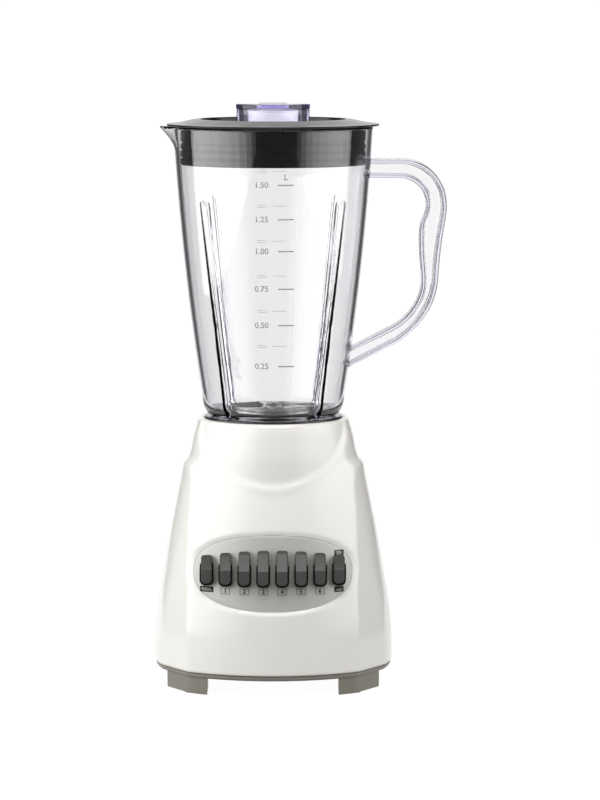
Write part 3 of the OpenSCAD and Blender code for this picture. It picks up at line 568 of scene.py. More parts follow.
# How far each surface has drawn in, in millimetres, at a share of the shell's height.
SIDE_SHAPE = [
    (0, 0), (0.09, 0.1), (0.21, 1.6), (0.38, 6.2), (0.55, 11.2), (0.755, 18.2), (0.812, 20),
    (0.826, 21.6), (0.845, 24.5), (0.93, 27.5), (1, 31),
]
FRONT_SHAPE = [
    (0, 0), (0.09, 0.1), (0.25, 1.7), (0.38, 4.8), (0.565, 11.5), (0.755, 20.6), (0.88, 29),
    (0.97, 35.6), (1, 38),
]
FACET_SHAPE = [(0, 0), (0.09, 0.1), (0.25, 1.9), (0.38, 4.4), (0.755, 13.2), (0.97, 20), (1, 21)]
NECK_SHAPE = [(0.6, 5.0), (0.77, 4.6), (0.85, 4.1), (0.92, 2.6), (0.975, 0.8), (1, -0.8)]
CREASE = 1.3 * MM
NECK_BLEND = 0.9 * MM
LIP_STEP = 0.7 * MM
LIP_REACH = 1.1 * MM


def drawn_in(shape, z):
    return smooth_curve(shape, (z - SEAM_Z) / SHELL_H) * MM


def bulge_reach(angle, z, facing_deg, half, bulge, shape, inset):
    """Distance from the axis to one bulged side, along an angle."""
    set_back = bulge - half
    facing = math.radians(facing_deg)
    along = -set_back * np.cos(angle - facing)
    radius = bulge - drawn_in(shape, z) - inset
    return along + np.sqrt(np.maximum(along ** 2 - set_back ** 2 + radius ** 2, 1e-8))


def shell_reach(angle, z, inset=0.0):
    """Distance from the axis to the base's surface, along an angle at a height."""
    reach = None
    for facing, half, bulge, shape in (
        (0, HALF_W, SIDE_BULGE, SIDE_SHAPE), (180, HALF_W, SIDE_BULGE, SIDE_SHAPE),
        (90, HALF_D, FRONT_BULGE, FRONT_SHAPE), (270, HALF_D, FRONT_BULGE, FRONT_SHAPE),
    ):
        one = bulge_reach(angle, z, facing, half, bulge, shape, inset)
        reach = one if reach is None else smooth_min(reach, one, CREASE)
    for facing in (FACET_DEG, 180 - FACET_DEG, 180 + FACET_DEG, 360 - FACET_DEG):
        lean = np.cos(angle - math.radians(facing))
        flat = (FACET_REACH - drawn_in(FACET_SHAPE, z) - inset) / np.maximum(lean, 0.2)
        reach = smooth_min(reach, flat, CREASE)
    neck = NECK_R + drawn_in(NECK_SHAPE, z) - inset
    low_end = SEAM_Z + NECK_SHAPE[0][0] * SHELL_H
    step = LIP_STEP * np.exp(-(((neck - reach) / LIP_REACH + 1.0) ** 2))
    return np.where(z > low_end, smooth_max(reach + step, neck, NECK_BLEND), reach)


def front_y(z, x):
    """How far the front surface stands before the axis, at a height and a side distance."""
    radius = FRONT_BULGE - drawn_in(FRONT_SHAPE, z)
    return np.sqrt(radius ** 2 - x ** 2) - (FRONT_BULGE - HALF_D)


# The oval panel, seen from the front.
PANEL_A = 54 * MM
PANEL_TILT = math.radians(12)
PANEL_B = 26 * MM * math.cos(PANEL_TILT)
OVAL_POW = 0.85
PANEL_Z = 84 * MM
LIP_W = 3.2 * MM
LIP_DEPTH = 1.3 * MM
PANEL_SUNK = 1.3 * MM
CORNERS = [(sx, sy) for sx in (-1, 1) for sy in (-1, 1)]


def oval(grow, n=120):
    """The panel's outline in x and z."""
    return [
        (
            (PANEL_A + grow) * math.copysign(abs(c) ** OVAL_POW, c),
            PANEL_Z + (PANEL_B + grow) * math.copysign(abs(s) ** OVAL_POW, s),
        )
        for c, s in circle(1.0, n)
    ]


def oval_gap(x, z):
    """Roughly how far a front point lies outside the oval's edge."""
    u = np.abs(x / PANEL_A) ** (1 / OVAL_POW)
    v = np.abs((z - PANEL_Z) / PANEL_B) ** (1 / OVAL_POW)
    level = np.sqrt(u ** 2 + v ** 2)
    return (level - 1) * PANEL_B * 0.95


def facing_front(outline, low, high, name):
    """A prism through the front wall, from an outline in x and z."""
    place = Matrix(((1, 0, 0, 0), (0, 0, -1, 0), (0, 1, 0, 0), (0, 0, 0, 1)))
    return prism(name, outline, low, high, place)


def shell_columns(n=540):
    return np.arange(n) * 2 * math.pi / n


SEAT_GROOVE_R = 47.7 * MM
WELL_R = 38.4 * MM
WELL_DEPTH = 15 * MM
WELL_WALL = 2.5 * MM
SHAFT_HOLE_R = 6 * MM
SEAT_SUNK = 1.5 * MM


def make_housing(mats):
    rings = Rings(shell_columns())
    angles, ring = rings.angles, rings.add
    edge, top_round = 1.2 * MM, 3.0 * MM
    for t in np.linspace(0, 1, 5):
        a = t * math.pi / 2
        z = SEAM_Z + edge * (1 - math.cos(a))
        ring(shell_reach(angles, z) - edge * (1 - math.sin(a)), z)
    heights = np.concatenate([
        np.linspace(SEAM_Z + edge, SEAM_Z + 0.79 * SHELL_H, 104)[1:],
        np.linspace(SEAM_Z + 0.79 * SHELL_H, SEAM_Z + 0.87 * SHELL_H, 34)[1:],
        np.linspace(SEAM_Z + 0.87 * SHELL_H, DECK_Z - top_round, 40)[1:],
    ])
    for z in heights:
        reach = shell_reach(angles, z)
        x, y = reach * np.cos(angles), reach * np.sin(angles)
        gap = np.where(y < 0, oval_gap(x, z), 1.0)
        roll = smooth_step((LIP_W - gap) / LIP_W) ** 1.6
        ring(reach - LIP_DEPTH * roll, z)
    for t in np.linspace(0, 1, 7)[1:]:
        a = t * math.pi / 2
        z = DECK_Z - top_round * (1 - math.sin(a))
        ring(shell_reach(angles, DECK_Z - top_round) - top_round * (1 - math.cos(a)), z)
    # The groove for the seat ring, the well in the deck and the shaft's hole, then the inside.
    seat_z, well_floor = DECK_Z - SEAT_SUNK, DECK_Z - WELL_DEPTH
    well_out, well_under = WELL_R + WELL_WALL, well_floor - WELL_WALL
    for reach, z in (
        (SEAT_GROOVE_R + 0.5 * MM, DECK_Z), (SEAT_GROOVE_R, DECK_Z - 0.5 * MM),
        (SEAT_GROOVE_R, seat_z), (WELL_R + 0.4 * MM, seat_z), (WELL_R, seat_z - 0.4 * MM),
        (WELL_R, well_floor + 1 * MM), (WELL_R - 1 * MM, well_floor),
        (SHAFT_HOLE_R + 0.4 * MM, well_floor), (SHAFT_HOLE_R, well_floor - 0.4 * MM),
        (SHAFT_HOLE_R, well_under), (well_out - 1 * MM, well_under),
        (well_out, well_under + 1 * MM), (well_out, DECK_Z - WALL - SEAT_SUNK),
    ):
        ring(reach, z)
    for z in np.linspace(DECK_Z - WALL - SEAT_SUNK, SEAM_Z + 1 * MM, 60):
        ring(shell_reach(angles, z, WALL), z)
    ring(shell_reach(angles, SEAM_Z, WALL), SEAM_Z)
    shell = rings.built("housing_shell", 40)
    boolean(shell, facing_front(oval(0.06 * MM), 0.02, 0.2, "oval_cut"), "DIFFERENCE")

    # Louvres low in the rear wall, and the hole for the cord inlet.
    slot_w, slot_h, pitch, count = 44 * MM, 2.6 * MM, 7 * MM, 7
    first = SEAM_Z + 0.26 * SHELL_H
    for i in range(count):
        z = first + i * pitch
        outline = round_rect(-slot_w / 2, slot_w / 2, z, z + slot_h, slot_h / 2)
        boolean(shell, facing_front(outline, -0.2, -0.03, "louvre_cut"), "DIFFERENCE")
    inlet_low, inlet_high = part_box("cord_inlet")
    outline = circle(8.1 * MM, 48, 0.0, (inlet_low.z + inlet_high.z) / 2)
    boolean(shell, facing_front(outline, -0.2, -0.03, "inlet_cut"), "DIFFERENCE")
    clean(shell)
    shade(shell, 38)
    finish_piece(shell, "base", mats["housing"], "motor_housing")


def finish_piece(obj, body, mat, *nodes, slot=None):
    """Gives a piece its material and its body, and hides the CAD nodes that it stands for."""
    obj.data.materials.clear()
    obj.data.materials.append(mat)
    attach(obj, body)
    if nodes:
        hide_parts(*nodes)


# ---------------------------------------------------------------- base plate and feet

FOOT_IN = 9.6 * MM
FOOT_W = 28 * MM
FOOT_D = 34 * MM
FOOT_BACK = 10 * MM
PLATE_T = 3.5 * MM
VENT_R, VENT_HALF_L, VENT_PITCH = 1.6 * MM, 24 * MM, 7 * MM
SCREW_HEAD_R, SCREW_RECESS_R = 3.0 * MM, 3.6 * MM
PAD_R, PAD_RECESS_R, PAD_RECESS_Z = 6 * MM, 6.05 * MM, 2.5 * MM


def make_base_plate(mats):
    bottom, top = SEAM_Z - PLATE_T, SEAM_Z - 0.25 * MM
    angles = shell_columns(288)
    outline = shell_reach(angles, SEAM_Z + 2 * MM) - 0.9 * MM

    def slab(name, rows):
        return stacked(name, [
            [(r * math.cos(a), r * math.sin(a), z) for r, a in zip(outline - inset, angles)]
            for inset, z in rows
        ], 35)

    plate = slab("base_pan", [
        (1.6 * MM, bottom), (0.7 * MM, bottom + 0.3 * MM), (0.15 * MM, bottom + 0.9 * MM),
        (0, bottom + 1.7 * MM), (0, top - 0.3 * MM), (0.3 * MM, top),
    ])
    foot_low = 0.25 * MM
    feet = slab("feet", [
        (2.2 * MM, foot_low), (1.9 * MM, foot_low + 0.3 * MM), (1.2 * MM, bottom + 1 * MM),
    ])
    boxes = []
    for sx, sy in CORNERS:
        x = sx * (HALF_W - FOOT_IN - FOOT_W / 2)
        y = sy * (HALF_D - FOOT_BACK - FOOT_D / 2)
        boxes.append(block(
            "foot_box", (x - FOOT_W / 2, y - FOOT_D / 2, -0.01),
            (x + FOOT_W / 2, y + FOOT_D / 2, 0.05),
        ))
    boolean(feet, joined("foot_boxes", boxes), "INTERSECT")
    clean(feet)
    bevel(feet, 0.9 * MM, 3, 40)
    boolean(plate, feet, "UNION")
    cuts = []
    for i in range(-4, 5):
        x = i * VENT_PITCH
        vent = round_rect(x - VENT_R, x + VENT_R, -VENT_HALF_L, VENT_HALF_L, VENT_R)
        cuts.append(prism("vent_cut", vent, bottom - 0.01, top + 0.01))
    for node, name, own_r, cut_r, n, high in (
        ("base_screws", "screw_cut", SCREW_HEAD_R, SCREW_RECESS_R, 32, bottom),
        ("foot_pads", "pad_cut", PAD_R, PAD_RECESS_R, 40, PAD_RECESS_Z),
    ):
        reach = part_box(node)[1]
        for sx, sy in CORNERS:
            recess = circle(cut_r, n, sx * (reach.x - own_r), sy * (reach.y - own_r))
            cuts.append(prism(name, recess, -0.01, high))
    boolean(plate, joined("plate_cuts", cuts), "DIFFERENCE")
    clean(plate)
    shade(plate, 40)
    finish_piece(plate, "base", mats["plate"], "base_plate")


# ---------------------------------------------------------------- panel, collars and keys

KEYS = ["key_pulse"] + [f"key_{i}" for i in range(1, 7)] + ["key_high_low"]
KEY_PITCH = 12.8 * MM
KEY_W = 7.2 * MM
KEY_L = 24 * MM
KEY_OUT = 11 * MM
KEY_ARC = 4.5 * MM
KEY_TRAVEL = 3.5 * MM
COLLAR_W = 9.4 * MM
COLLAR_LOW = -9.2 * MM
COLLAR_L = 15.4 * MM
COLLAR_OUT = 4.6 * MM
KEY_LOW = COLLAR_LOW + (COLLAR_W - KEY_W) / 2 + 0.05 * MM
GAP = 0.3 * MM


def key_x(i):
    return (i - (len(KEYS) - 1) / 2) * KEY_PITCH


def key_high(i):
    return KEY_LOW + KEY_L - KEY_ARC * (key_x(i) / key_x(0)) ** 2


def key_place(i):
    """The key's own frame: on the surface, Y up the panel and Z out of it."""
    t = PANEL_TILT
    x = key_x(i)
    return Matrix((
        (1, 0, 0, x),
        (0, math.sin(t), -math.cos(t), -float(front_y(PANEL_Z, x))),
        (0, math.cos(t), math.sin(t), PANEL_Z),
        (0, 0, 0, 1),
    ))


def upright(width, low, high, flat_top=False):
    """An upright outline with a round bottom and a flatter top."""
    r = width / 2
    foot, top = 0.9 * r, (1.2 * MM if flat_top else 0.62 * r)
    return filleted([(-r, low, foot), (r, low, foot), (r, high, top), (-r, high, top)], 9)


def make_panel(mats):
    rings, around = 26, 144
    edge = oval(0.0, around)
    verts, faces = [], []
    for sunk in (PANEL_SUNK, PANEL_SUNK + 1.6 * MM):
        verts.append((0, -float(front_y(PANEL_Z, 0.0)) + sunk, PANEL_Z))
        for k in range(1, rings + 1):
            for x, z in edge:
                px, pz = x * k / rings, PANEL_Z + (z - PANEL_Z) * k / rings
                rim = 0.35 * MM if k == rings and sunk == PANEL_SUNK else 0.0
                verts.append((px, -float(front_y(pz, px)) + sunk + rim, pz))
    side = 1 + rings * around
    for s in (0, side):
        faces += [(s, s + 1 + i, s + 1 + (i + 1) % around) for i in range(around)]
        for k in range(rings - 1):
            a, b = s + 1 + k * around, s + 1 + (k + 1) * around
            faces += [(a + i, b + i, b + (i + 1) % around, a + (i + 1) % around)
                      for i in range(around)]
    a, b = 1 + (rings - 1) * around, side + 1 + (rings - 1) * around
    faces += [(a + i, b + i, b + (i + 1) % around, a + (i + 1) % around) for i in range(around)]
    panel = new_object("panel_plate", verts, faces, 40)
    cuts = []
    for i in range(len(KEYS)):
        place = key_place(i)
        collar = prism("collar_cut", upright(
            COLLAR_W - 0.1 * MM, COLLAR_LOW + 0.05 * MM, COLLAR_LOW + COLLAR_L, True
        ), -0.02, 0.02, place)
        slot = prism("key_cut", upright(
            KEY_W + 2 * GAP, KEY_LOW - GAP, key_high(i) + GAP
        ), -0.0201, 0.0201, place)
        boolean(collar, slot, "UNION")
        cuts.append(collar)
    boolean(panel, joined("key_cuts", cuts), "DIFFERENCE")
    clean(panel)
    shade(panel, 35)
    finish_piece(panel, "base", mats["panel"], "control_panel")


def make_collars(mats):
    collars = []
    for i in range(len(KEYS)):
        body = prism("collar", upright(
            COLLAR_W, COLLAR_LOW, COLLAR_LOW + COLLAR_L, True
        ), -4.4 * MM, COLLAR_OUT)
        boolean(body, prism("collar_slot", upright(
            KEY_W + 2 * GAP, KEY_LOW - GAP, 40 * MM
        ), -0.03, 0.03), "DIFFERENCE")
        lean = math.radians(-35)
        place = Matrix.Translation((0, 1 * MM, 1.6 * MM)) @ Matrix.Rotation(lean, 4, "X")
        boolean(body, block("collar_top", (-0.02, 0, 0), (0.02, 0.03, 0.03), place), "DIFFERENCE")
        clean(body)
        bevel(body, 0.45 * MM, 3, 40)
        body.data.transform(key_place(i))
        collars.append(body)
    piece = joined("key_bezels", collars)
    finish_piece(piece, "base", mats["bezel"], "key_collars")


def make_keys(mats):
    for i, name in enumerate(KEYS):
        edge_y = KEY_LOW + 9.0 * MM
        top = key_high(i)
        side = filleted([
            (KEY_LOW - 2 * MM, -3 * MM), (KEY_LOW - 2 * MM, KEY_OUT * 0.58),
            (KEY_LOW + 1 * MM, KEY_OUT * 0.70, 3 * MM), (edge_y, KEY_OUT, 1.1 * MM),
            (top - 2.0 * MM, 3.2 * MM + KEY_TRAVEL * 0.5, 2.5 * MM),
            (top + 1 * MM, KEY_TRAVEL * 0.55), (top + 1 * MM, -3 * MM),
        ])
        across = Matrix(((0, 0, 1, 0), (1, 0, 0, 0), (0, 1, 0, 0), (0, 0, 0, 1)))
        finger = prism("finger", side, -KEY_W, KEY_W, across)
        boolean(finger, prism("finger_outline", upright(KEY_W, KEY_LOW, top), -0.02, 0.03),
                "INTERSECT")
        clean(finger, 2e-5)
        bevel(finger, 0.8 * MM, 4, 38)
        back_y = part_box(name)[1].y
        stem_len = (-float(front_y(PANEL_Z, key_x(i))) - back_y) / math.cos(PANEL_TILT)
        stem = block("stem", (-1.7 * MM, -2.7 * MM, stem_len + 0.6 * MM),
                     (1.7 * MM, 2.7 * MM, -2.5 * MM))
        bevel(stem, 0.3 * MM, 2, 40)
        boolean(finger, stem, "UNION")
        clean(finger)
        finger.data.transform(key_place(i))
        finger.name = f"finger_{name}"
        shade(finger, 40)
        finish_piece(finger, name, mats["key"], name)


PRINT_T = 0.05 * MM
PRINT_LIFT = 0.06 * MM


def text_mesh(body, size, bold):
    """The outline faces of a short run of figures, flat in x and y, centred on x."""
    curve = bpy.data.curves.new("figures", "FONT")
    curve.body = body
    curve.size = size
    curve.align_x = "CENTER"
    curve.align_y = "CENTER"
    curve.resolution_u = 3
    curve.offset = bold
    obj = bpy.data.objects.new("figures", curve)
    bpy.context.collection.objects.link(obj)
    graph = bpy.context.evaluated_depsgraph_get()
    mesh = bpy.data.meshes.new_from_object(obj.evaluated_get(graph))
    verts = [tuple(v.co) for v in mesh.vertices]
    faces = [tuple(p.vertices) for p in mesh.polygons]
    bpy.data.objects.remove(obj)
    bpy.data.curves.remove(curve)
    bpy.data.meshes.remove(mesh)
    return verts, faces


def strip(x0, x1, y0, y1, cells=4):
    """A flat bar as a small grid, so that it can follow a curved wall."""
    verts, faces = [], []
    for k in range(cells + 1):
        x = x0 + (x1 - x0) * k / cells
        verts += [(x, y0, 0), (x, y1, 0)]
    for k in range(cells):
        faces.append((2 * k, 2 * k + 2, 2 * k + 3, 2 * k + 1))
    return verts, faces


def print_piece(name, shapes, wrap):
    """Printed marks: flat shapes laid on a surface by wrap(x, y), as a thin closed skin."""
    verts, faces = [], []
    for vs, fs in shapes:
        base = len(verts)
        verts += [wrap(v[0], v[1]) for v in vs]
        faces += [tuple(base + i for i in f) for f in fs]
    obj = new_object(name, verts, faces)
    mod = obj.modifiers.new("skin", "SOLIDIFY")
    mod.thickness = PRINT_T
    mod.offset = 0.0
    apply_modifiers(obj)
    fix_normals(obj)
    return obj


def shifted(shape, dx, dy):
    verts, faces = shape
    return [(v[0] + dx, v[1] + dy, 0) for v in verts], faces


def on_panel(lift):
    def wrap(x, z):
        return (x, -float(front_y(z, x)) + PANEL_SUNK - lift, z)
    return wrap


def frame_lines(w, h, t):
    return [
        strip(-w / 2, w / 2, h / 2 - t, h / 2), strip(-w / 2, w / 2, -h / 2, -h / 2 + t),
        strip(-w / 2, -w / 2 + t, -h / 2, h / 2, 1), strip(w / 2 - t, w / 2, -h / 2, h / 2, 1),
    ]


LABEL_DROP = 11.9 * MM


def make_labels(mats):
    """Figures 1 to 6 in frames, and plain tabs with simple signs at both ends."""
    line, dark, light = [], [], []
    last = len(KEYS) - 1
    for i in range(1, last):
        x, z = key_x(i), PANEL_Z - LABEL_DROP
        line += [shifted(s, x, z) for s in frame_lines(6.2 * MM, 4.3 * MM, 0.28 * MM)]
        line.append(shifted(text_mesh(str(i), 4.0 * MM, 0.12 * MM), x, z))
    tab_w, tab_h = 6.4 * MM, 3.8 * MM
    low_z = PANEL_Z - LABEL_DROP + 0.5 * MM
    high_z = PANEL_Z + key_high(last) + 1.2 * MM
    for x, z in ((key_x(0), low_z), (key_x(last), low_z), (key_x(last), high_z)):
        wide = 9.2 * MM if x < 0 else tab_w
        dark.append(shifted(strip(-wide / 2, wide / 2, -tab_h / 2, tab_h / 2, 4), x, z))
    # A square wave for the pulse key, one bar for low and three bars for high.
    wave = ((0, 1.2, 0.6, 1.0), (0, 0.4, -1.0, 1.0), (1.0, 1.4, -1.0, 1.0), (1.2, 2.2, -1.0, -0.6))
    for k in range(3):
        left = key_x(0) + (k - 1.4) * 2.2 * MM
        for bar in wave:
            light.append(shifted(strip(*(v * MM for v in bar), 1), left, low_z))
    light.append(shifted(strip(-1.8 * MM, 1.8 * MM, -0.9 * MM, -0.3 * MM, 1), key_x(last), low_z))
    for k in range(3):
        bar = strip(-1.8 * MM, 1.8 * MM, (-1.2 + k * 0.9) * MM, (-0.7 + k * 0.9) * MM, 1)
        light.append(shifted(bar, key_x(last), high_z))
    for name, shapes, lift, mat in (
        ("speed_figures", line, 0.04 * MM, "label"), ("label_tabs", dark, 0.04 * MM, "label"),
        ("label_signs", light, 0.09 * MM, "label_light"),
    ):
        piece = print_piece(name, shapes, on_panel(lift))
        finish_piece(piece, "base", mats[mat], slot="bezel_black")


# ---------------------------------------------------------------- jar

jar_low, jar_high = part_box("jar")
lid_low, lid_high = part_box("lid")
RIM_Z = jar_high.z
NECK_LOW_Z = jar_low.z
FOOT_Z = NECK_LOW_Z + 10.7 * MM
JAR_TOP_R = 68.7 * MM
JAR_LOW_R = 49 * MM
JAR_FOOT_R = 41.5 * MM
JAR_ROUND_H = 12.3 * MM
JAR_BOW = 2.3 * MM
JAR_WALL = 3 * MM
JAR_FLOOR_T = 3 * MM
NECK_IN_R = 31 * MM
NECK_OUT_R = 34 * MM
FLUTE_D = 3.4 * MM
FLUTE_H = 151 * MM
FLUTE_HALF_W = 2.9 * MM
FLUTE_RIB = 1.0 * MM
SPOUT_OUT = -jar_low.x - JAR_TOP_R
SPOUT_H = 17 * MM
SPOUT_DEG = 15.0


def jar_side_r(z):
    """The jar's outer radius above its rounded bottom."""
    low = FOOT_Z + JAR_ROUND_H
    t = (z - low) / (RIM_Z - low)
    return JAR_LOW_R + (JAR_TOP_R - JAR_LOW_R) * t + 4 * JAR_BOW * t * (1 - t)


def flute_angles(z):
    """Directions of the four flutes, which spread a little as they rise."""
    spread = 41.5 + 4.5 * np.clip((z - FOOT_Z) / FLUTE_H, 0, 1) ** 1.6
    return [math.radians(a) for a in (270 - spread, 270 + spread, 90 - spread, 90 + spread)]


def flute_depth(angles, z, reach, half_w):
    """How far the wall is drawn in at a height, for each angle."""
    share = (FOOT_Z + FLUTE_H - z) / FLUTE_H
    if share <= 0:
        return np.zeros_like(angles)
    deep = FLUTE_D * (0.22 * smooth_step(share / 0.035) + 0.78 * share)
    total = np.zeros_like(angles)
    round_top = math.sqrt(max(0.0, 1 - max(0.0, 1 - share / 0.03) ** 2))
    width = half_w * (1.35 - 0.5 * min(1.0, 1.8 * share)) * max(round_top, 0.05)
    for at in flute_angles(z):
        off = np.abs((angles - at + math.pi) % (2 * math.pi) - math.pi) * reach
        total = np.maximum(total, smooth_step((width - off) / (width * 0.5)))
    return deep * total


def spout_reach(angles, z):
    rise = np.clip((z - (RIM_Z - SPOUT_H)) / SPOUT_H, 0, 1)
    off = np.abs(angles % (2 * math.pi) - math.pi)
    side = np.clip(1 - off / math.radians(SPOUT_DEG), 0, 1)
    return SPOUT_OUT * (rise ** 1.7) * (side ** 1.35)


def jar_columns():
    """Angles round the jar, close together at the flutes and the spout."""
    angles, a = [], 0.0
    busy = [(math.radians(45 + 90 * k), math.radians(12)) for k in range(4)]
    busy.append((math.pi, math.radians(18)))
    while a < 2 * math.pi - 1e-9:
        angles.append(a)
        near = any(abs(a - at) < wide for at, wide in busy)
        a += math.radians(0.5 if near else 1.5)
    return np.array(angles)


def make_jar(mats):
    rings = Rings(jar_columns())
    angles, ring = rings.angles, rings.add

    def side_ring(z, inset, half_w):
        base = jar_side_r(z)
        reach = base - inset - flute_depth(angles, z, base, half_w) + spout_reach(angles, z)
        ring(reach, z)

    low = FOOT_Z + JAR_ROUND_H
    in_half_w = FLUTE_HALF_W + FLUTE_RIB
    # Outside: round the foot, then up the wall.
    ring(JAR_FOOT_R - 1.2 * MM, FOOT_Z)
    for t in np.linspace(0.04, 1, 12)[:-1]:
        a = t * math.pi / 2
        reach = JAR_FOOT_R + (JAR_LOW_R - JAR_FOOT_R) * math.sin(a)
        z = low - JAR_ROUND_H * math.cos(a)
        fade = smooth_step((t - 0.02) / 0.3)
        ring(reach - flute_depth(angles, z, reach, FLUTE_HALF_W) * fade, z)
    heights = np.concatenate([
        np.linspace(low, FOOT_Z + FLUTE_H - 7 * MM, 52),
        np.linspace(FOOT_Z + FLUTE_H - 7 * MM, FOOT_Z + FLUTE_H + 1 * MM, 22)[1:],
        np.linspace(FOOT_Z + FLUTE_H + 1 * MM, RIM_Z - SPOUT_H, 14)[1:],
        np.linspace(RIM_Z - SPOUT_H, RIM_Z - 1.3 * MM, 20)[1:],
    ])
    for z in heights:
        side_ring(z, 0, FLUTE_HALF_W)
    # Over the rim.
    rim_r = JAR_WALL / 2
    for a in np.linspace(0.25, 0.75, 5) * math.pi:
        inset = rim_r - rim_r * math.cos(a)
        base = jar_side_r(RIM_Z) + spout_reach(angles, RIM_Z)
        ring(base - inset, RIM_Z - 1.0 * MM + 1.0 * MM * math.sin(a))
    # Down the inside, with ribs behind the flutes.
    inner_low = FOOT_Z + JAR_FLOOR_T
    for z in heights[::-1]:
        side_ring(z, JAR_WALL, in_half_w)
    for t in np.linspace(1, 0.0, 9)[1:]:
        a = t * math.pi / 2
        wide, narrow = JAR_LOW_R - JAR_WALL, JAR_FOOT_R - 3 * MM
        reach = narrow + (wide - narrow) * math.sin(a)
        z = low - (low - inner_low) * math.cos(a)
        ring(reach - flute_depth(angles, z, reach, in_half_w) * 0.85 * (t > 0), z)
    # The neck's bore and its outside.
    for reach, z in (
        (NECK_IN_R + 0.6 * MM, inner_low), (NECK_IN_R, inner_low - 0.6 * MM),
        (NECK_IN_R, NECK_LOW_Z + 0.3 * MM), (NECK_IN_R + 0.3 * MM, NECK_LOW_Z),
        (NECK_OUT_R - 0.4 * MM, NECK_LOW_Z), (NECK_OUT_R, NECK_LOW_Z + 0.4 * MM),
        (NECK_OUT_R, FOOT_Z - 0.2 * MM), (NECK_OUT_R + 0.4 * MM, FOOT_Z),
    ):
        ring(reach, z)
    jar = rings.built("jar_body", 50)
    boolean(jar, make_handle(), "UNION")
    clean(jar)
    shade(jar, 50)
    finish_piece(jar, "jar", mats["jar"], "jar", "jar_handle")


HANDLE_W = 17 * MM
HANDLE_RIM = 3 * MM
HANDLE_WEB = 4 * MM
ARM_T = 13.7 * MM
GRIP_T = 19.2 * MM
BUMP_OUT = 4.8 * MM


def handle_edges():
    """The handle's outer and inner edges in x and z."""
    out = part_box("jar_handle")[1].x
    top, low = RIM_Z - 21.8 * MM, FOOT_Z + 32.6 * MM
    grip_low = low + 59.5 * MM
    mid = (top + grip_low) / 2

    def wall(z):
        return (jar_side_r(z) - 1.6 * MM, z)

    def inward(dx, z):
        """A point some millimetres in from the handle's outermost reach."""
        return (out - dx * MM, z)

    outer = np.vstack([[wall(top)], bezier_run(
        inward(31.6, top),
        (inward(15, top), (out, top - 12 * MM), (out, top - 33 * MM), 22),
        ((out, mid), inward(4, mid - 8 * MM), inward(5.8, grip_low), 14),
        (inward(8, low + 42 * MM), inward(17, low + 29 * MM), inward(33.7, low + 17.4 * MM), 20),
    ), [wall(low)]])
    top_in, low_in = top - ARM_T, low + ARM_T + 0.9 * MM
    neck_x, grip_x = out - GRIP_T + BUMP_OUT, out - GRIP_T
    low_x = grip_x + 1.6 * MM
    mid_in = (top_in - 30 * MM + grip_low) / 2
    inner = np.vstack([[wall(top_in)], bezier_run(
        inward(33.7, top_in),
        (inward(22, top_in), (neck_x, top_in - 7.7 * MM), (neck_x, top_in - 19 * MM), 18),
        ((neck_x, top_in - 25 * MM), (grip_x, top_in - 28 * MM), (grip_x, top_in - 38 * MM), 12),
        ((grip_x, mid_in - 8 * MM), (low_x, mid_in - 10 * MM), (low_x, grip_low), 10),
        ((low_x, low_in + 33 * MM), inward(27, low_in + 20.5 * MM),
         inward(38.2, low_in + 14.6 * MM), 18),
    ), [wall(low_in)]])
    return outer, inner


def handle_section(thick):
    """The handle's I section: distance from the inner edge, and across."""
    w, web = HANDLE_W / 2, HANDLE_WEB / 2
    rim = min(HANDLE_RIM, thick * 0.3)
    soft, root = 1.5 * MM, 1.6 * MM
    return filleted([
        (0, -w, soft), (rim, -w, soft * 0.7), (rim, -web, root), (thick - rim, -web, root),
        (thick - rim, -w, soft * 0.7), (thick, -w, soft), (thick, w, soft),
        (thick - rim, w, soft * 0.7), (thick - rim, web, root), (rim, web, root),
        (rim, w, soft * 0.7), (0, w, soft),
    ], 3)


def make_handle():
    """The handle's section, set between points at equal shares of its two edges."""
    rows = []
    for o, i in zip(*(resampled(edge, 110) for edge in handle_edges())):
        thick = float(np.linalg.norm(o - i))
        u = (o - i) / thick
        rows.append([(i[0] + u[0] * d, y, i[1] + u[1] * d) for d, y in handle_section(thick)])
    return stacked("handle", rows, 50)


# The printed scale: volumes in litres, and where their lines stand above the foot.
SCALE = [("1.50", 161.2), ("1.25", 138.1), ("1.00", 116.6), ("0.75", 91.1), ("0.50", 66.3),
         ("0.25", 38.2)]
SCALE_LINE_X = (3.6 * MM, 14.2 * MM)
SCALE_FIGURE_X = -7.4 * MM


def on_jar(side):
    def wrap(x, z):
        reach = float(jar_side_r(z)) + PRINT_LIFT
        return (x, side * math.sqrt(reach ** 2 - x * x), z)
    return wrap


def make_scale(mats):
    near, far = [], []
    for figures, up in SCALE:
        z = FOOT_Z + up * MM
        near.append(strip(*SCALE_LINE_X, z - 0.42 * MM, z + 0.42 * MM, 8))
        near.append(shifted(text_mesh(figures, 5.5 * MM, 0.08 * MM), SCALE_FIGURE_X, z))
    near.append(shifted(text_mesh("L", 5.8 * MM, 0.1 * MM), 9.0 * MM, FOOT_Z + 166.4 * MM))
    for k in range(6):
        z = FOOT_Z + (42 + 24.5 * k) * MM
        for bar in ((-1, 9, -0.12, 0.12), (-12, -5, -0.95, -0.75), (-12, -5, 0.55, 0.75)):
            far.append(shifted(strip(*(v * MM for v in bar), 6), 0, z))
    for name, shapes, side, mat in (
        ("scale_front", near, -1, "print"), ("scale_back", far, 1, "faint"),
    ):
        piece = print_piece(name, shapes, on_jar(side))
        finish_piece(piece, "jar", mats[mat], slot="key_grey")


# ---------------------------------------------------------------- lid and cap

CAP_R = 25.1 * MM
LID_R = (lid_high.x - lid_low.x) / 2
RING_Z = lid_high.z
SKIRT_LOW_Z = lid_low.z
BRIM_Z = RING_Z - 4.5 * MM
RING_R = 52 * MM
LID_DECK_Z = RING_Z - 8 * MM
LID_WALL = 2.4 * MM


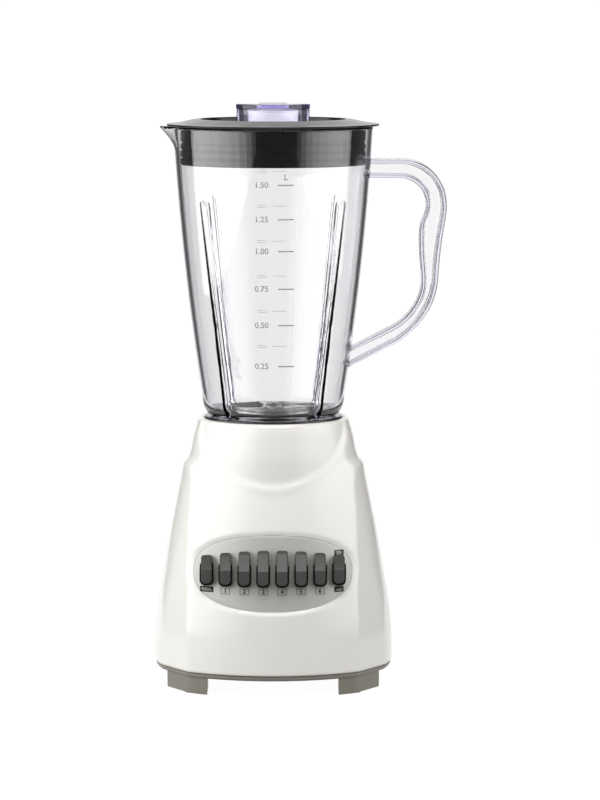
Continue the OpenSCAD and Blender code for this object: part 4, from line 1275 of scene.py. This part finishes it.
def make_lid(mats):
    hole = CAP_R - 2.4 * MM
    skirt = float(jar_side_r(RIM_Z - 26 * MM)) - JAR_WALL - 0.6 * MM
    outline = [
        (hole, LID_DECK_Z - 8 * MM, 0.6 * MM), (hole, LID_DECK_Z, 0.5 * MM),
        (RING_R - 3.2 * MM, LID_DECK_Z, 1.2 * MM), (RING_R - 1.6 * MM, RING_Z, 0.9 * MM),
        (RING_R + 1.8 * MM, RING_Z, 1.6 * MM), (LID_R - 7 * MM, BRIM_Z + 1.9 * MM, 6 * MM),
        (LID_R - 0.4 * MM, BRIM_Z + 1.3 * MM, 0.6 * MM), (LID_R, BRIM_Z + 0.5 * MM, 0.5 * MM),
        (LID_R - 0.5 * MM, BRIM_Z, 0.3 * MM), (skirt + 0.2 * MM, BRIM_Z, 0.5 * MM),
    ]
    for k in range(3):
        z = SKIRT_LOW_Z + (15.1 - 5.15 * k) * MM
        outline += [
            (skirt, z + 1.0 * MM, 0.25 * MM), (skirt - 1.0 * MM, z + 0.5 * MM, 0.25 * MM),
            (skirt - 1.0 * MM, z - 0.3 * MM, 0.25 * MM), (skirt, z - 0.8 * MM, 0.25 * MM),
        ]
    outline += [
        (skirt, SKIRT_LOW_Z, 0.9 * MM), (skirt - LID_WALL, SKIRT_LOW_Z, 0.9 * MM),
        (skirt - LID_WALL, LID_DECK_Z - LID_WALL, 1.5 * MM),
        (hole + LID_WALL, LID_DECK_Z - LID_WALL, 1.0 * MM),
        (hole + LID_WALL, LID_DECK_Z - 8 * MM, 0.6 * MM),
    ]
    lid = turned("lid_cover", outline, 216)
    finish_piece(lid, "lid", mats["lid"], "lid")


def make_cap(mats):
    low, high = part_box("measuring_cap")
    top, bottom, deck = high.z, low.z, LID_DECK_Z + 0.2 * MM
    inner = CAP_R - 5.2 * MM
    outline = [
        (inner, bottom, 0.5 * MM), (CAP_R - 2.8 * MM, bottom, 0.5 * MM),
        (CAP_R - 2.8 * MM, deck, 0.3 * MM), (CAP_R, deck, 0.6 * MM),
        (CAP_R, top - 3.4 * MM, 0.3 * MM), (CAP_R + 0.5 * MM, top - 3.1 * MM, 0.3 * MM),
        (CAP_R + 0.5 * MM, top, 0.9 * MM), (0.02 * MM, top), (0.02 * MM, top - 2.6 * MM),
        (inner, top - 2.6 * MM, 1.2 * MM),
    ]
    cap = turned("measuring_cup", outline, 160)
    bm = bmesh.new()
    bm.from_mesh(cap.data)
    bmesh.ops.remove_doubles(bm, verts=bm.verts, dist=0.03 * MM)
    bm.to_mesh(cap.data)
    bm.free()
    fix_normals(cap)
    for side in (-1, 1):
        outline = [(-11 * MM, side * 19 * MM), (11 * MM, side * 19 * MM),
                   (8 * MM, side * 6 * MM), (-8 * MM, side * 6 * MM)]
        soft = filleted([(x, y, 1.2 * MM) for x, y in outline], 4)
        boolean(cap, prism("grip_cut", soft, top - 1.2 * MM, top + 5 * MM), "DIFFERENCE")
    clean(cap)
    shade(cap, 40)
    finish_piece(cap, "cap", mats["cap"], "measuring_cap")


# ---------------------------------------------------------------- jar seat and blade unit


def make_seat_ring(mats):
    low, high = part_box("jar_seat_ring")
    inner, outer = 38.8 * MM, high.x
    ring = turned("seat_ring", [
        (inner, low.z, 0.3 * MM), (outer, low.z, 0.3 * MM), (outer, high.z - 0.2 * MM, 1.2 * MM),
        (outer - 1.6 * MM, high.z, 0.6 * MM), (inner + 1.0 * MM, high.z, 0.6 * MM),
        (inner, high.z - 0.8 * MM, 0.4 * MM),
    ])
    finish_piece(ring, "base", mats["seat"], "jar_seat_ring")


def make_dish(mats):
    low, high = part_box("blade_base")
    outer, wall = 30.4 * MM, 1.5 * MM
    floor = FOOT_Z - 1.7 * MM
    flange = NECK_OUT_R - 0.1 * MM
    dish = turned("steel_dish", [
        (7.02 * MM, floor - wall), (7.02 * MM, floor, 0.2 * MM), (outer - 4 * MM, floor, 2 * MM),
        (outer - wall, floor + 3 * MM, 1.5 * MM), (outer - wall, high.z, 0.5 * MM),
        (outer, high.z, 0.5 * MM), (outer, low.z + wall, 0.4 * MM),
        (flange, low.z + wall, 0.3 * MM), (flange, low.z, 0.3 * MM),
        (outer - wall, low.z, 0.4 * MM), (outer - wall, floor - wall, 1.2 * MM),
    ])
    finish_piece(dish, "jar", mats["dish"], "blade_base")


def make_collar(mats):
    low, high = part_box("jar_collar")
    outer = high.x
    inner = NECK_OUT_R + 0.15 * MM
    collar = turned("threaded_collar", [
        (17 * MM, low.z, 0.4 * MM), (outer, low.z, 1.0 * MM), (outer, high.z, 0.6 * MM),
        (inner, high.z, 0.3 * MM), (inner, low.z + 2.5 * MM, 0.3 * MM),
        (17 * MM, low.z + 2.5 * MM, 0.4 * MM),
    ])
    cuts = []
    for k in range(24):
        a = k * math.pi / 12
        place = Matrix.Rotation(a, 4, "Z") @ Matrix.Translation((outer + 0.5 * MM, 0, low.z - 0.001))
        cuts.append(prism("grip_cut", circle(1.3 * MM, 16), 0, 11 * MM, place))
    boolean(collar, joined("grips", cuts), "DIFFERENCE")
    clean(collar)
    shade(collar, 40)
    finish_piece(collar, "jar", mats["collar"], "jar_collar")


BLADE_TURNS = {"lower_blade": (25, 0.0), "upper_blade": (115, 9.0)}


def make_blades(mats):
    """Two blades of two wings each, with ground edges. The upper one bends up at its root."""
    root_x, reach, thick, half_root = 9 * MM, 25.9 * MM, 1.5 * MM, 7 * MM
    ground = 0.35 * thick
    for name, (turn_deg, bend_deg) in BLADE_TURNS.items():
        low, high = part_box(name)
        rows = []
        bend = math.radians(bend_deg)
        for side in (-1, 1):
            half = []
            for t in np.linspace(0, 1, 15):
                x = reach * t
                ease = smooth_step(np.clip(t * 1.25, 0, 1))
                lead = half_root * (1 - 0.86 * ease)
                trail = -half_root * (1 - 0.22 * ease)
                rise = max(0.0, x - root_x) * math.tan(bend)
                half.append((side * x * math.cos(bend * 0.5), side * lead, side * trail, rise))
            rows += half[::-1] if side < 0 else half[1:]
        sections = []
        for x, lead, trail, rise in rows:
            z = low.z + rise
            sections.append([
                (x, lead, z + ground), (x, lead * 0.62, z + thick), (x, trail, z + thick),
                (x, trail, z), (x, lead, z + ground - 0.2 * MM),
            ])
        blade = stacked(f"{name}_ground", sections, 30)
        hole = prism("hole", circle(3.2 * MM, 32), low.z - 0.01, high.z + 0.01)
        boolean(blade, hole, "DIFFERENCE")
        clean(blade)
        blade.data.transform(Matrix.Rotation(math.radians(turn_deg), 4, "Z"))
        bevel(blade, 0.12 * MM, 2, 30)
        finish_piece(blade, "blades", mats["blade"], name)


# ---------------------------------------------------------------- CAD nodes kept as they are

NODE_LOOKS = {
    "foot_pads": "rubber", "base_screws": "screw", "switch_bank": "switch",
    "circuit_board": "board", "cord_inlet": "inlet", "stator_core": "laminated",
    "field_coils": "copper", "upper_motor_bracket": "bracket", "lower_motor_bracket": "bracket",
    "motor_screws": "screw", "motor_grommets": "rubber", "motor_mount_screws": "screw",
    "brush_holders": "holder", "carbon_brushes": "carbon", "upper_bearing": "bearing",
    "lower_bearing": "bearing", "motor_shaft": "shaft", "armature_core": "laminated",
    "armature_windings": "copper", "commutator": "copper", "cooling_fan": "fan",
    "drive_coupling": "coupling", "jar_gasket": "gasket", "blade_bushing": "bushing",
    "blade_shaft": "shaft", "driven_coupling": "coupling", "blade_washer": "screw",
    "blade_cap_nut": "screw",
}


def dress_nodes(mats):
    for node, look in NODE_LOOKS.items():
        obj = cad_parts[node]
        if not obj.material_slots:
            obj.data.materials.append(mats[look])
        for slot in obj.material_slots:
            slot.material = mats[look]


make_camera()
make_studio()
materials = make_materials()
for make in (
    make_housing, make_base_plate, make_panel, make_collars, make_keys, make_labels, make_jar,
    make_scale, make_lid, make_cap, make_seat_ring, make_dish, make_collar, make_blades, dress_nodes,
):
    make(materials)
